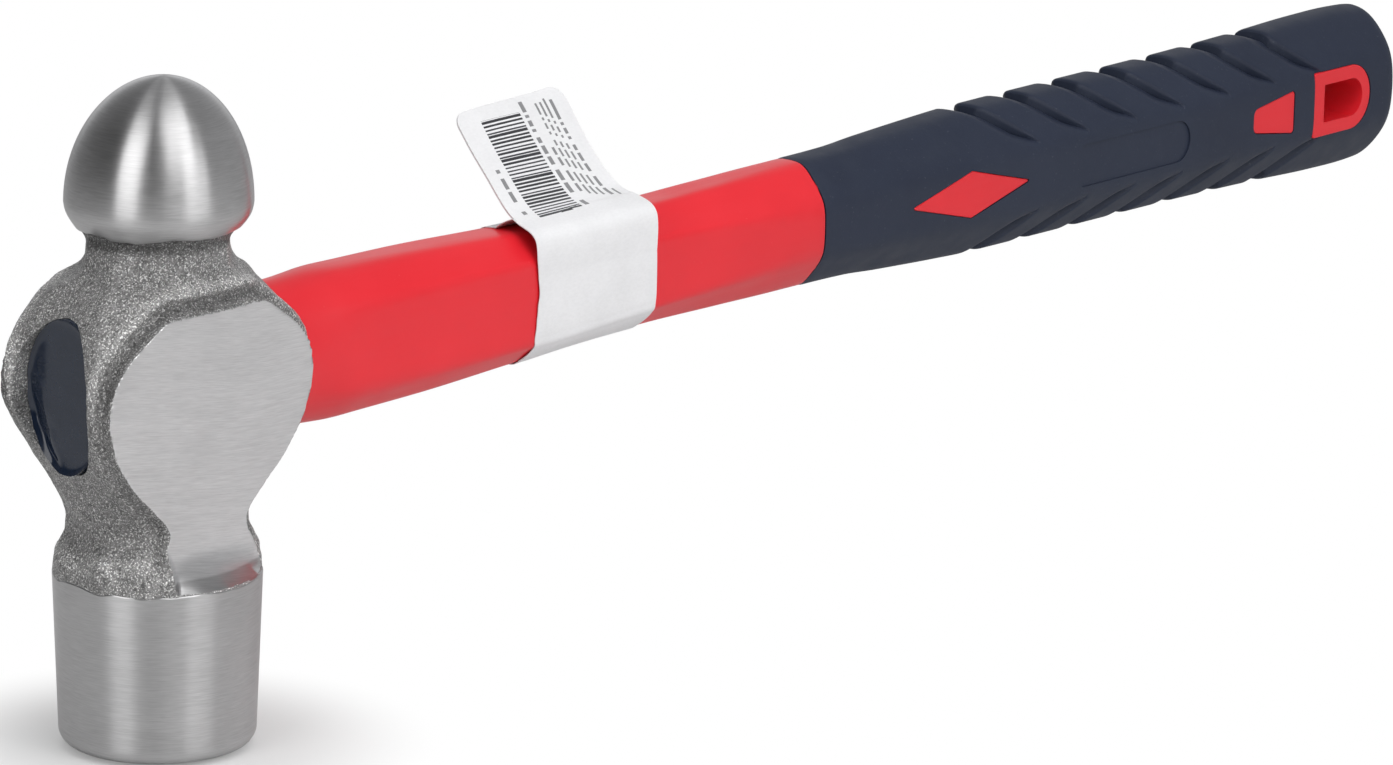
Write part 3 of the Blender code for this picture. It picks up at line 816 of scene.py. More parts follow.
def body_rings(levels):
    """The forged body, its cheeks ground flat with a hollow and a ridge round each, and the cheeks' edges."""
    z, angle = np.meshgrid(levels, turn_angles(HEAD_STEPS), indexing="ij")
    radius = forged_shape(angle, z)
    limit = ground_radius(angle, radius, z)
    skin = around_z(radius, angle, z)
    edge = crossings(radius - limit, skin)
    tree = kdtree.KDTree(len(edge))
    for index, point in enumerate(edge):
        tree.insert(point, index)
    tree.balance()
    outside = radius < limit
    gap = np.full(z.shape, 99.0)
    gap[outside] = [tree.find(point)[2] for point in skin[outside]]
    strength = (0.35 + 0.65 * smooth_step(*FACETS_START, z)) * fall_step(20.0, 23.0, z)
    strength = strength * smooth_step(POLL_EDGE_Z + 1.0, POLL_EDGE_Z + 4.0, z)
    fade = smooth_step(POLL_EDGE_Z, POLL_EDGE_Z + 1.5, z) * fall_step(BALL_LOW_Z - 1.2, BALL_LOW_Z, z)
    fade = fade * (1 + fall_step(-32.0, -24.0, z)) * (0.12 + 0.88 * smooth_step(0.2, 2.6, gap))
    radius = radius + layered_grain(around_z(17.0, angle, z), FORGING_GRAIN, 1) * fade
    for centre, spread, rise in (CHEEK_HOLLOW, CHEEK_RIDGE):
        radius = radius + rise * strength * bell(gap, centre, spread)
    radius = radius * (1 + (radius / limit) ** CREASE_POWER) ** (-1 / CREASE_POWER)
    return around_z(radius, angle, z), tree


def round_rings(outline):
    """Rings of revolution about the head's axis from (radius, z) pairs."""
    radius, z = np.array(outline).T[:, :, None]
    return around_z(radius, turn_angles(HEAD_STEPS), z)


def poll_outline():
    corner_z = FACE_Z + FACE_EDGE_RADIUS
    corner_radius = POLL_BOTTOM_RADIUS - FACE_EDGE_RADIUS
    outline = [(radius, FACE_Z) for radius in np.linspace(1.5, corner_radius - 1.0, 10)]
    for turn in np.linspace(0.0, np.pi / 2, 12):
        outline.append((corner_radius + FACE_EDGE_RADIUS * math.sin(turn),
                        corner_z - FACE_EDGE_RADIUS * math.cos(turn)))
    for share in np.linspace(0.0, 1.0, 42)[1:]:
        outline.append((POLL_BOTTOM_RADIUS + share * (POLL_TOP_RADIUS - POLL_BOTTOM_RADIUS),
                        corner_z + share * (POLL_EDGE_Z - 0.25 - corner_z)))
    outline.append((POLL_TOP_RADIUS - 0.12, POLL_EDGE_Z - 0.05))
    return outline


def ball_outline():
    height = BALL_TOP_Z - BALL_WIDEST_Z
    outline = [(BALL_LOW_RADIUS - 0.25, BALL_LOW_Z), (BALL_LOW_RADIUS, BALL_LOW_Z + 0.12)]
    for share in np.linspace(0.0, 1.0, 12)[1:-1]:
        bulge = 0.55 * math.sin(math.pi * share)
        outline.append((BALL_LOW_RADIUS + share * (BALL_RADIUS - BALL_LOW_RADIUS) + bulge,
                        BALL_LOW_Z + share * (BALL_WIDEST_Z - BALL_LOW_Z)))
    for turn in np.linspace(0.0, np.pi / 2, 64)[:-1]:
        outline.append((BALL_RADIUS * math.cos(turn), BALL_WIDEST_Z + height * math.sin(turn)))
    return outline


def ball_drift(z):
    """How far the hand-ground ball wanders off the poll's axis, along X and -Y alike."""
    climb = np.clip((z - BALL_LOW_Z) / (BALL_TOP_Z - BALL_LOW_Z), 0.0, 1.0)
    return BALL_DRIFT * (0.15 * smooth_step(BALL_LOW_Z - 3.0, BALL_LOW_Z + 3.0, z) + 0.55 * climb**2)


def eye_width(across):
    """The eye's half-width at its front: less on the near side, where the wall is thicker."""
    return np.where(across < 0, EYE_NEAR_HALF_WIDTH, EYE_HALF_WIDTH)


def eye_cutter():
    """The oval hole along X, opening out into a rounded lip where it meets the forged skin."""
    turn = turn_angles(EYE_STEPS)
    up = np.sin(turn) * EYE_HALF_HEIGHT
    half_length, half_width, squareness = body_section(up)
    length = np.hypot(np.cos(turn) / EYE_HALF_WIDTH, np.sin(turn) / EYE_HALF_HEIGHT)
    outward = np.stack([0 * turn, np.cos(turn) / EYE_HALF_WIDTH / length,
                        np.sin(turn) / EYE_HALF_HEIGHT / length], axis=-1)
    rings = []
    for sign in (-1, 1):
        across = np.cos(turn) * (eye_width(np.cos(turn)) if sign < 0 else EYE_HALF_WIDTH)
        mouth = half_length * (1 - (np.abs(across) / half_width) ** squareness) ** (1 / squareness)
        half = [((mouth - EYE_LIP) * share, 0.0) for share in np.linspace(0.0, 1.0, 36)]
        for lift in np.linspace(0.0, np.pi / 2, 7)[1:]:
            half.append((mouth - EYE_LIP + EYE_LIP * math.sin(lift), EYE_LIP * (1 - math.cos(lift))))
        half.append((THROUGH_HEAD_X + 0 * mouth, EYE_LIP + 2.0))
        for x, grow in half[:0:-1] if sign < 0 else half:
            place = np.stack([sign * x, across, up], axis=-1)
            wall = np.clip(0.08 + layered_grain(place, EYE_GRAIN, 6), 0.0, 0.3)
            rings.append(place + outward * (grow + wall)[:, None])
    return loft("eye_cutter", rings)


def head_rings():
    """The poll, the forged body and the ball, with ragged edges between them, and the tree of cheek edges."""
    levels = np.concatenate([
        POLL_EDGE_Z + np.array([0.0, 0.03, 0.08, 0.18]),
        np.linspace(POLL_EDGE_Z + 0.35, BALL_LOW_Z - 0.1, HEAD_LEVELS),
    ])
    body, tree = body_rings(levels)
    rings = np.concatenate([round_rings(poll_outline()), body, round_rings(ball_outline())])
    angle = np.arctan2(rings[..., 1], rings[..., 0])
    z = rings[..., 2]
    z += edge_wave(angle, POLL_WAVE_SEED) * bell(z, POLL_EDGE_Z, 1.4)
    z += BALL_WAVE_SHARE * edge_wave(angle, BALL_WAVE_SEED) * bell(z, BALL_LOW_Z, 1.2)
    drift = ball_drift(z)
    rings[..., 0] += drift
    rings[..., 1] -= drift
    return rings, tree


def mark_head(head, tree):
    """Stores on the mesh where it is ground, which way the grinding ran, and its painted light and shade."""
    place = positions(head)
    x, y, z = place.T
    drift = ball_drift(z)
    angle = np.arctan2(y + drift, x - drift)
    radius = np.hypot(x - drift, y + drift)
    on_body = (z > POLL_EDGE_Z) & (z < BALL_LOW_Z)
    below = POLL_EDGE_Z + edge_wave(angle, POLL_WAVE_SEED) - z
    above = z - BALL_LOW_Z - BALL_WAVE_SHARE * edge_wave(angle, BALL_WAVE_SEED)
    cheek = np.where(on_body, cheek_margin(angle, np.clip(z, POLL_EDGE_Z, BALL_LOW_Z)), -MOST_MARGIN)
    ground = np.maximum(np.maximum(below, above), cheek)
    in_eye = (y / (EYE_HALF_WIDTH + 1.0)) ** 2 + (z / (EYE_HALF_HEIGHT + 1.0)) ** 2 < 1.0
    store(head, "ground", np.where(in_eye, -MOST_MARGIN, np.clip(ground, -MOST_MARGIN, MOST_MARGIN)))
    # The cheek mark carries a painted brighter reflection onto the ground cheek.
    store(head, "cheek", (cheek > 0) & (z > CHEEK_FILLET_Z - 5.0))

    climb = np.arctan2((z - BALL_WIDEST_Z) * BALL_RADIUS / (BALL_TOP_Z - BALL_WIDEST_Z), radius)
    lay = np.where(z > BALL_WIDEST_Z, BALL_WIDEST_Z + climb * BALL_RADIUS, z)
    lay = np.where(z < FACE_Z + FACE_EDGE_RADIUS, z - (POLL_BOTTOM_RADIUS - radius), lay)
    sweep = z + BRUSH_SLOPE * x - BRUSH_BEND * np.maximum(x, 0.0) ** 2
    store(head, "lay", np.where(on_body, sweep, lay))

    gap = np.array([tree.find(point)[2] for point in place])
    # Painted light and shade: lit ridge and poll shoulder; shaded hollow, collar under the ball and poll
    # foot.
    upper = smooth_step(-3.0, 3.0, z)
    hollow = bell(gap, CHEEK_HOLLOW[0], 1.4) * (0.45 + 0.55 * upper)
    ridge = bell(gap, CHEEK_RIDGE[0] + 0.3, 1.3) * upper * fall_step(18.5, 20.5, z)
    collar = smooth_step(BALL_LOW_Z - 3.5, BALL_LOW_Z - 1.5, z)
    foot = bell(z, POLL_EDGE_Z + 1.0, 1.2)
    corner = bell(np.hypot(x, y), 17.6, 0.8) * fall_step(-28.0, -26.0, z)
    store(head, "painted_light_and_shade", np.clip(ridge + 0.8 * corner - 0.7 * hollow - 0.8 * collar - 0.3 * foot, -1.0, 1.0))


def build_head(shade):
    rings, tree = head_rings()
    top = ball_drift(BALL_TOP_Z)
    head = loft("head", rings, (0.0, 0.0, FACE_Z), (top, -top, BALL_TOP_Z))
    combine(head, eye_cutter(), "DIFFERENCE")
    mark_head(head, tree)
    finish_piece(head, shade, "hammer_head", crease_degrees=26)


# Resin


def build_resin(shade):
    """The resin's face is flat but for a hollow at its lower far edge, and creeps up the wall."""
    front_x = RESIN_LOW[0]
    turn = turn_angles(RESIN_STEPS)
    up = np.sin(turn) * (EYE_HALF_HEIGHT - RESIN_GAP)
    across = np.cos(turn) * (EYE_NEAR_HALF_WIDTH - RESIN_GAP)
    rings = []
    for x in np.linspace(RESIN_HIGH[0], front_x + 2.2, 8):
        rings.append(np.stack([x + 0 * turn, across, up], axis=-1))
    across = np.cos(turn) * (eye_width(np.cos(turn)) - RESIN_GAP)
    for share in np.linspace(1.0, 0.03, 34) ** 0.8:
        place = np.stack([0 * turn, across, up], axis=-1) * share
        toward = 0.80 * place[:, 1] / EYE_HALF_WIDTH - 0.60 * place[:, 2] / EYE_HALF_HEIGHT
        hollow = RESIN_HOLLOW * smooth_step(0.62, 1.0, toward) * (1.0 - 0.55 * smooth_step(0.90, 1.0, share))
        lip = 0.25 * grain(np.roll(place, -1, axis=1), 0.35, 9) * smooth_step(0.4, 0.7, toward)
        place[:, 0] = front_x - RESIN_CREEP * np.exp(-(1 - share) / 0.05) + hollow + lip
        rings.append(place)
    resin = loft("resin", rings, None, (front_x, 0.0, 0.0))
    finish_piece(resin, shade, "eye_resin", crease_degrees=60)


# Jacket

jacket_section = profile(JACKET_STATIONS)


def jacket_radius(angle, x):
    width, height, side_flat, top_flat = jacket_section(x)
    share = smooth_step(PLUG_BACK_X, OCTAGON_FROM_X, x)
    oval = oval_radius(angle, EYE_HALF_WIDTH - PLUG_GAP, EYE_HALF_HEIGHT - PLUG_GAP)
    sharpness = 16.0 + 20.0 * smooth_step(40.0, 90.0, x) - 22.0 * smooth_step(128.0, 168.0, x)
    octagon = octagon_radius(angle, width, height, side_flat, top_flat, sharpness)
    return oval * (1 - share) + octagon * share


def tail_rings(grow=0.0):
    """The jacket's squarish tail inside the grip, with its last part tapered."""
    angle = turn_angles(TAIL_STEPS)
    ends = ((GRIP_LOW[0] - 2.0, 1.0), (TAIL_END_X - TAIL_TAPER_LENGTH, 1.0), (TAIL_END_X + grow, TAIL_TAPER))
    rings = []
    for x, scale in ends:
        radius = oval_radius(angle, TAIL_HALF_WIDTH * scale + grow, TAIL_HALF_HEIGHT * scale + grow, 4)
        rings.append(around_x(x, radius, angle))
    return rings


def rounded(corners, radii, steps=6):
    """A closed outline of (x, z) corners with each corner rounded by its own radius."""
    corners = np.array(corners, float)
    outline = []
    for i, (corner, radius) in enumerate(zip(corners, radii)):
        before = corners[i - 1] - corner
        after = corners[(i + 1) % len(corners)] - corner
        before /= np.linalg.norm(before)
        after /= np.linalg.norm(after)
        half = 0.5 * math.acos(float(np.clip(before @ after, -1, 1)))
        reach = radius / math.tan(half)
        centre = corner + (before + after) / np.linalg.norm(before + after) * radius / math.sin(half)
        start = corner + before * reach - centre
        end = corner + after * reach - centre
        sweep = math.atan2(start[0] * end[1] - start[1] * end[0], float(start @ end))
        for turn in np.linspace(0.0, sweep, steps + 1):
            turned = (start[0] * math.cos(turn) - start[1] * math.sin(turn),
                      start[0] * math.sin(turn) + start[1] * math.cos(turn))
            outline.append(centre + turned)
    return np.array(outline)


def diamond_outline(grow=0.0):
    slant = math.hypot(DIAMOND_HALF_LENGTH, DIAMOND_HALF_HEIGHT)
    half_length = DIAMOND_HALF_LENGTH + grow * slant / DIAMOND_HALF_HEIGHT
    half_height = DIAMOND_HALF_HEIGHT + grow * slant / DIAMOND_HALF_LENGTH
    corners = [(DIAMOND_X - half_length, 0.0), (DIAMOND_X, -half_height),
               (DIAMOND_X + half_length, 0.0), (DIAMOND_X, half_height)]
    return rounded(corners, [0.25 + grow, 0.9 + grow, 0.25 + grow, 0.9 + grow])


def wedge_outline(grow=0.0):
    front = WEDGE_FRONT_X - grow
    back = WEDGE_BACK_X + grow
    low = WEDGE_FRONT_HALF_HEIGHT + grow
    high = WEDGE_BACK_HALF_HEIGHT + grow
    corners = [(front, -low), (back, -high), (back, high), (front, low)]
    return rounded(corners, [1.5 + grow, 0.8 + grow, 0.8 + grow, 1.5 + grow])


def d_outline(front_x, arc_x, half_height, corner, grow=0.0):
    """A capital-D shape: straight at its front, round at its back."""
    radius = half_height + grow
    front = front_x - grow
    square = rounded([(front, radius), (front, -radius), (arc_x, -radius), (arc_x, radius)],
                     [corner + grow, corner + grow, 0.01, 0.01])
    outline = [point for point in square if point[0] < arc_x - 1.0]
    for turn in np.linspace(-np.pi / 2, np.pi / 2, 33):
        outline.append(np.array([arc_x + radius * math.cos(turn), radius * math.sin(turn)]))
    return np.array(outline)


def show_through(grow=0.0):
    """The outlines of the diamond, the wedge and the hole's rim, where the jacket shows in the grip."""
    rim = d_outline(HANG_RIM_FRONT_X, HANG_ARC_X, HANG_RIM_RADIUS, 0.5, grow)
    return diamond_outline(grow), wedge_outline(grow), rim


def through_grip(target, name, outline, y_low=-THROUGH_GRIP_Y, y_high=THROUGH_GRIP_Y):
    combine(target, prism_y(name, outline, y_low, y_high), "DIFFERENCE")


def build_jacket(shade):
    last_x = JACKET_STATIONS[-1][0]
    places = np.concatenate([np.linspace(JACKET_FRONT_X, last_x - 0.5, 160), [last_x - 0.15, last_x]])
    x, angle = np.meshgrid(places, turn_angles(HANDLE_STEPS), indexing="ij")
    rings = around_x(x, jacket_radius(angle, x), angle)
    rings[-1, :, 1:] *= END_DRAW
    jacket = loft("jacket", rings)
    combine(jacket, loft("jacket_tail", tail_rings()), "UNION")
    for outline in show_through():
        combine(jacket, prism_y("boss", outline, -BOSS_FACE_Y, BOSS_FACE_Y, BOSS_BEVEL), "UNION")
    through_grip(jacket, "hang_hole", d_outline(HANG_HOLE_FRONT_X, HANG_ARC_X, HANG_HOLE_RADIUS, 0.3))
    raise_handle(jacket)
    finish_piece(jacket, shade, "handle_jacket", crease_degrees=28)


# Grip

grip_section = profile(GRIP_STATIONS)
LAST_GROOVE_X = GROOVE_FIRST_X + (GROOVE_COUNT - 1) * GROOVE_PITCH


def groove_lean(along):
    """How fully the rings follow the chevrons: not at all at the grip's two ends."""
    rise = smooth_step(GRIP_LOW[0], GROOVE_FIRST_X - 2 * GROOVE_RAMP, along)
    return rise * fall_step(LAST_GROOVE_X + GROOVE_RAMP, BUTT_ROUND_X, along)


def groove_profile(offset):
    """Depth of a groove at a distance from its step: a ramp, a steep wall, and a rounded lip."""
    ramp = GROOVE_DEPTH * np.clip((offset + GROOVE_RAMP) / (GROOVE_RAMP - GROOVE_WALL), 0.0, 1.0) ** 1.2
    lip = GROOVE_WALL * (1 - np.sqrt(1 - np.clip(1 - offset, 0.0, 1.0) ** 2))
    wall = GROOVE_DEPTH + (GROOVE_WALL - GROOVE_DEPTH) * np.clip((offset + GROOVE_WALL) / 0.35, 0.0, 1.0)
    parts = [offset <= -GROOVE_RAMP, offset < -GROOVE_WALL, offset < -0.1, offset < 0, offset < 1.0]
    return np.select(parts, [0.0 * offset, ramp, wall, GROOVE_WALL + 0.0 * offset, lip], 0.0)


def grip_places():
    """Where the grip's rings stand along the handle before they are raked, and each ring's groove depth."""
    offsets = np.array(GROOVE_PLACES)
    steps = GROOVE_FIRST_X + GROOVE_PITCH * np.arange(GROOVE_COUNT)
    butt = np.sin(np.linspace(0.0, np.pi / 2, 30)[1:-1]) * (GRIP_HIGH[0] - BUTT_ROUND_X)
    plain = [np.linspace(GRIP_LOW[0], GROOVE_FIRST_X - GROOVE_RAMP, 50),
             np.linspace(LAST_GROOVE_X + 10.4, BUTT_ROUND_X, 24), BUTT_ROUND_X + butt]
    along = np.concatenate([plain[0], (steps[:, None] + offsets).ravel(), *plain[1:]])
    depth = np.concatenate([0 * plain[0], np.tile(groove_profile(offsets), GROOVE_COUNT),
                            *(0 * part for part in plain[1:])])
    order = np.argsort(along, kind="stable")
    return along[order], depth[order]


def grip_rings():
    along, depth = grip_places()
    into_butt = np.clip((along - BUTT_ROUND_X) / (GRIP_HIGH[0] - BUTT_ROUND_X), 0, 1)
    scale = (1 - into_butt**BUTT_ROUNDNESS) ** (1 / BUTT_ROUNDNESS)
    x, angle = np.meshgrid(along, turn_angles(GRIP_STEPS), indexing="ij")
    width, height = grip_section(x)
    share = smooth_step(GRIP_LOW[0] + 1.0, GRIP_FULL_X, x)
    side_flat = GRIP_FRONT_SIDE_FLAT * (1 - share) + GRIP_SIDE_FLAT * height * share
    top_flat = GRIP_FRONT_TOP_FLAT * (1 - share) + GRIP_TOP_FLAT * width * share
    sharpness = 14.0 + 2.0 * share - 7.5 * smooth_step(BUTT_ROUND_X - 10.0, GRIP_HIGH[0] - 1.0, x)
    radius = octagon_radius(angle, width, height, side_flat, top_flat, sharpness) + GRIP_OVER_SECTION
    radius = radius * scale[:, None]
    level = np.abs(radius * np.sin(angle))
    radius = radius - depth[:, None] * smooth_step(*GROOVE_FADE, level)
    shift = GROOVE_RAKE * (GROOVE_TOP_Z - np.clip(level, GROOVE_END_Z, GROOVE_TOP_Z))
    rings = around_x(x + shift * groove_lean(x), radius, angle)
    rings[0, :, 1:] *= END_DRAW
    return rings


def build_grip(shade):
    grip = loft("grip", grip_rings(), None, (GRIP_HIGH[0], 0.0, 0.0))
    combine(grip, loft("tail_cavity", tail_rings(0.1)), "DIFFERENCE")
    for outline in show_through(WINDOW_GAP):
        through_grip(grip, "window", outline)
    floor_y = GRIP_STATIONS[-1][1] - PANEL_DEPTH
    panel = d_outline(PANEL_FRONT_X, PANEL_ARC_X, PANEL_HALF_HEIGHT, 1.0)
    through_grip(grip, "near_panel", panel, y_high=-floor_y)
    through_grip(grip, "far_panel", panel, y_low=floor_y)
    raise_handle(grip)
    finish_piece(grip, shade, "rubber_grip", crease_degrees=38)


# Label


def lengths(line):
    """How long a line is up to each of its points."""
    return np.concatenate([[0], np.cumsum(np.linalg.norm(np.diff(line, axis=0), axis=1))])


def near_path(handles):
    """The near ply's path sampled evenly and smoothed, as an array of (y, z)."""
    handles = np.array(handles)
    chord = lengths(handles)
    curve = profile(np.column_stack([chord, handles]))
    line = np.stack(curve(np.linspace(0, chord[-1], PATH_SAMPLES)), axis=1)
    for _ in range(5):
        line[1:-1] = 0.25 * line[:-2] + 0.5 * line[1:-1] + 0.25 * line[2:]
    return line


front_line = near_path(FRONT_PATH)
back_line = near_path(BACK_PATH)


def path_at(share):
    """The near ply's path at a share of the width, its near side's unit normals, and its length so far."""
    line = front_line * (1 - share) + back_line * share
    along = np.gradient(line, axis=0)
    along /= np.linalg.norm(along, axis=1)[:, None]
    return line, np.stack([-along[:, 1], along[:, 0]], axis=1), lengths(line)


def label_edge(angle):
    """How far the label's front edge wanders along the handle, by direction."""
    return layered_grain(around_z(1.0, angle, 0.0), LABEL_EDGE_GRAIN, 31)


def band_radius(angle, x, share):
    """The band's distance from the axis: snug round the jacket, but bridging its near upper corner."""
    width, height, side_flat, top_flat = jacket_section(x)
    soft = octagon_radius(angle, width, height, side_flat, top_flat, BAND_SHARPNESS) + BAND_SLACK
    snug = np.maximum(jacket_radius(angle, x) + BAND_GAP, soft)
    line, _, length = path_at(share)
    bearing = np.arctan2(line[:, 1], line[:, 0])
    last = int(np.argmax(length > BAND_LEAVES))
    bearing = bearing[:last]
    reach = np.hypot(*line[:last].T)
    bridge = np.interp(angle, bearing[::-1], reach[::-1], left=0.0, right=0.0)
    fall = reach[-1] - BAND_FALL * (bearing[-1] - angle)
    bridge = np.where(angle < bearing[-1], fall, bridge)
    return np.where(angle < np.pi, np.maximum(snug, bridge), snug)


def flag_curl(share, length):
    """How far the flag curls to its near side, by its share of the width and its length so far."""
    return FLAG_CURL * np.sin(share * 5.5 + 0.4) * smooth_step(20.0, 36.0, length)


def band():
    """The part of the label that wraps the handle, a closed tube of paper."""
    angle = turn_angles(BAND_STEPS)
    outer = []
    inner = []
    for share in np.linspace(0.0, 1.0, BAND_RINGS):
        x = LABEL_FRONT_X + share * (LABEL_BACK_X - LABEL_FRONT_X) + label_edge(angle) * (1 - share) ** 4
        lift = BAND_LIFT * np.exp(-share / 0.12) * (1 + np.sin(3 * angle + 0.6))
        lift = lift + BAND_LIFT * (1 + np.sin(angle * 2.0 + share * 5.0)) * smooth_step(0.0, 0.2, share)
        base = band_radius(angle, x, share) + lift
        outer.append(around_x(x, base + 0.5 * PAPER, angle))
        inner.append(around_x(x, base - 0.5 * PAPER, angle))
    rings = np.array(outer + inner[::-1])
    return mesh_object("label", rings, ring_faces(len(rings), BAND_STEPS, closed=True))


def flag():
    """The part of the label that stands up from the handle, with its two plies stuck together."""
    near_side = np.empty((PATH_SAMPLES, FLAG_COLUMNS, 3))
    far_side = np.empty((PATH_SAMPLES, FLAG_COLUMNS, 3))
    for column, share in enumerate(np.linspace(0.0, 1.0, FLAG_COLUMNS)):
        line, normal, length = path_at(share)
        past = np.clip(length - (length[-1] - FLAG_CORNER), 0.0, FLAG_CORNER)
        corner = FLAG_CORNER - np.sqrt(np.maximum(FLAG_CORNER**2 - past**2, 0.0))
        x = LABEL_FRONT_X + 0.1 + corner + share * (LABEL_BACK_X - LABEL_FRONT_X - 0.2 - 2 * corner)
        curl = flag_curl(share, length)
        lifted = 0.5 * PAPER * smooth_step(FLAG_FOOT, FLAG_FOOT + 3.0, length) + 0.3 * PAPER
        for sheet, offset in ((near_side, lifted + curl), (far_side, curl - 1.5 * PAPER)):
            sheet[:, column, 0] = x
            sheet[:, column, 1:] = line + normal * offset[:, None]
    kept = path_at(0.5)[2] > FLAG_FOOT
    loops = np.concatenate([near_side[kept], far_side[kept][:, ::-1]], axis=1)
    return loft("flag", loops[::-1])


def mark_label(label):
    """Stores on the mesh where each point lies on the printed sheet, and whether it is on the near side."""
    place = positions(label)
    share = np.clip((place[:, 0] - LABEL_FRONT_X) / (LABEL_BACK_X - LABEL_FRONT_X), 0.0, 1.0)
    lines = front_line * (1 - share[:, None, None]) + back_line * share[:, None, None]
    offsets = place[:, None, 1:] - lines
    distance = (offsets**2).sum(axis=2)
    nearest = np.argmin(distance, axis=1)
    rows = np.arange(len(place))
    _, normal, length = path_at(0.5)
    side = np.einsum("ij,ij->i", offsets[rows, nearest], normal[nearest])
    curl = flag_curl(share, length[nearest])
    store(label, "print_s", length[nearest])
    store(label, "print_x", place[:, 0] - LABEL_FRONT_X)
    store(label, "print_near", (side > curl - 0.05) & (distance[rows, nearest] < 2.0) & (nearest > 0))


def build_label(shade):
    label = band()
    combine(label, flag(), "UNION", "EXACT")
    mark_label(label)
    raise_handle(label)
    finish_piece(label, shade, "paper_label", crease_degrees=50)


# Studio

TARGET = Vector((143.7, 0.0, 38.0)) * MM
HEAD_PLACE = Vector((50.0, 0.0, 50.0)) * MM  # what the lamps face
VIEW_AZIMUTH = -50.0
VIEW_ELEVATION = 14.19
VIEW_DISTANCE = 1.2455
VIEW_ROLL = 1.17
HEAD_VIEW = -45.2  # azimuth of the camera seen from the head
LENS = 170.73
# How bright the studio is behind the hammer, at its right and overhead: (-1 to 1, brightness).
BEHIND_STOPS = [(-1.0, 0.13), (0.0, 0.15), (0.7, 0.36), (0.9, 0.7), (1.0, 0.95)]
RIGHT_STOPS = [(-1.0, 0.0), (0.2, 0.0), (1.0, 0.34)]
ABOVE_STOPS = [(-1.0, 0.0), (0.7, 0.0), (1.0, 0.25)]
FLOOR_EDGE = 6.0
FLOOR_DROP = 0.0004
FLOOR_FADE = (0.0175, 0.05)  # distances from the origin, in metres


def direction(azimuth, elevation):
    """A unit vector towards an azimuth, counted from -Y towards +X, and an elevation, in degrees."""
    turn = math.radians(azimuth)
    climb = math.radians(elevation)
    return Vector((math.sin(turn) * math.cos(climb), -math.cos(turn) * math.cos(climb), math.sin(climb)))


def build_camera():
    back = direction(VIEW_AZIMUTH, VIEW_ELEVATION)
    right = Vector((0.0, 0.0, 1.0)).cross(back).normalized()
    up = back.cross(right)
    roll = Matrix.Rotation(math.radians(VIEW_ROLL), 3, back)
    camera = bpy.data.objects.new("camera", bpy.data.cameras.new("camera"))
    camera.data.sensor_width = 36.0
    camera.data.lens = LENS
    camera.data.clip_start = 0.05
    camera.data.clip_end = 50.0
    turned = Matrix((roll @ right, roll @ up, back)).transposed().to_4x4()
    camera.matrix_world = Matrix.Translation(TARGET + back * VIEW_DISTANCE) @ turned
    bpy.context.scene.collection.objects.link(camera)
    bpy.context.scene.camera = camera


def softbox(name, azimuth, elevation, distance, width, height, radiance):
    """A rectangular lamp that faces the head, with its brightness given as radiance."""
    lamp = bpy.data.lights.new(name, "AREA")
    lamp.shape = "RECTANGLE"
    lamp.size = width
    lamp.size_y = height
    lamp.energy = radiance * math.pi * width * height
    made = bpy.data.objects.new(name, lamp)
    away = direction(azimuth, elevation)
    made.location = HEAD_PLACE + away * distance
    made.rotation_mode = "QUATERNION"
    made.rotation_quaternion = away.to_track_quat("Z", "Y")
    bpy.context.scene.collection.objects.link(made)
    return made


def facing(s, toward, stops):
    """A brightness by how far a ray points toward a direction, as stops of (-1 to 1, brightness)."""
    heading = s.node("ShaderNodeTexCoord").outputs["Generated"]
    toward_share = s.vector_math("DOT_PRODUCT", heading, toward, result="Value")
    made = s.node("ShaderNodeFloatCurve", {"Value": s.math("MULTIPLY_ADD", toward_share, 0.5, 0.5)})
    points = made.mapping.curves[0].points
    for index, (place, brightness) in enumerate(stops):
        if index < 2:
            points[index].location = ((place + 1) / 2, brightness)
        else:
            points.new((place + 1) / 2, brightness)
    made.mapping.update()
    return made.outputs[0]


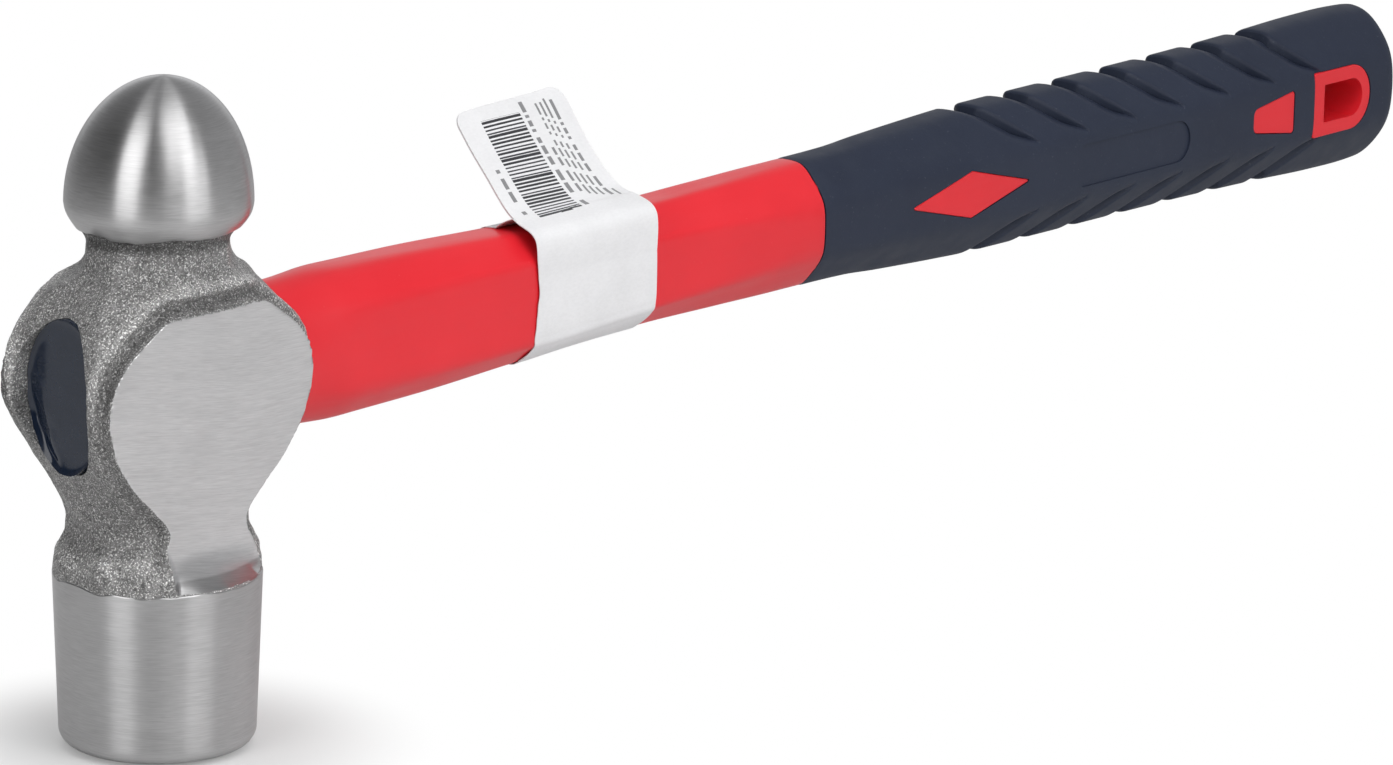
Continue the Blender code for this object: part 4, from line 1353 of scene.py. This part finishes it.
def build_world():
    """White to the camera; to all else a dim studio, brighter overhead, at the right and behind."""
    world = bpy.data.worlds.new("studio")
    bpy.context.scene.world = world
    s = Shader(world, "ShaderNodeOutputWorld")
    behind = facing(s, -direction(HEAD_VIEW, 0), BEHIND_STOPS)
    right = facing(s, direction(HEAD_VIEW + 90, 0), RIGHT_STOPS)
    above = facing(s, Vector((0.0, 0.0, 1.0)), ABOVE_STOPS)
    strength = s.math("ADD", s.math("ADD", behind, right), above)
    room = s.node("ShaderNodeBackground", {"Color": (0.98, 0.985, 1.0, 1.0), "Strength": strength}).outputs[0]
    white = s.node("ShaderNodeBackground", {"Color": (1.0, 1.0, 1.0, 1.0)}).outputs[0]
    seen = s.node("ShaderNodeLightPath").outputs["Is Camera Ray"]
    s.done(s.mix_surfaces(seen, room, white))


def floor_material():
    """Pale matt floor that fades to plain white away from the hammer, for the camera only."""
    s = Shader(bpy.data.materials.new("floor"))
    place = s.node("ShaderNodeNewGeometry").outputs["Position"]
    distance = s.vector_math("LENGTH", place, result="Value")
    matt = s.node("ShaderNodeBsdfDiffuse", {"Color": (0.66, 0.66, 0.66, 1.0)}).outputs[0]
    glow = s.node("ShaderNodeEmission", {"Color": (1, 1, 1, 1), "Strength": 1.0}).outputs[0]
    seen = s.node("ShaderNodeLightPath").outputs["Is Camera Ray"]
    fade = s.spread(distance, *FLOOR_FADE, 0.25, 1.0, kind="SMOOTHSTEP")
    return s.done(s.mix_surfaces(s.math("MULTIPLY", seen, fade), matt, glow))


def build_floor():
    mesh = bpy.data.meshes.new("floor")
    corners = [(FLOOR_EDGE * x, FLOOR_EDGE * y, 0.0) for x, y in ((-1, -1), (1, -1), (1, 1), (-1, 1))]
    mesh.from_pydata(corners, [], [(0, 1, 2, 3)])
    mesh.materials.append(floor_material())
    floor = bpy.data.objects.new("floor", mesh)
    floor.location.z = -FLOOR_DROP
    bpy.context.scene.collection.objects.link(floor)


def build_studio():
    build_camera()
    build_world()
    build_floor()
    softbox("left_box", HEAD_VIEW - 40, 28, 1.0, 0.46, 1.0, 2.4)
    softbox("right_box", HEAD_VIEW + 27, 50, 1.0, 0.62, 0.9, 2.1)
    softbox("side_box", HEAD_VIEW + 45, 12, 1.0, 0.55, 0.8, 1.3)
    top = softbox("top_box", 0, 89, 1.2, 1.4, 1.4, 0.9)
    fill = softbox("fill_box", HEAD_VIEW + 55, 22, 1.1, 0.8, 0.8, 1.5)
    for lamp in (top, fill):
        lamp.visible_glossy = False
    bpy.context.scene.view_settings.view_transform = "Standard"


def main():
    build_head(steel_material())
    build_resin(resin_material())
    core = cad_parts["fibreglass_core"]
    core.data.materials.clear()
    core.data.materials.append(fibreglass_material())
    build_jacket(red_material())
    build_grip(rubber_material())
    build_label(paper_material())
    build_studio()


main()
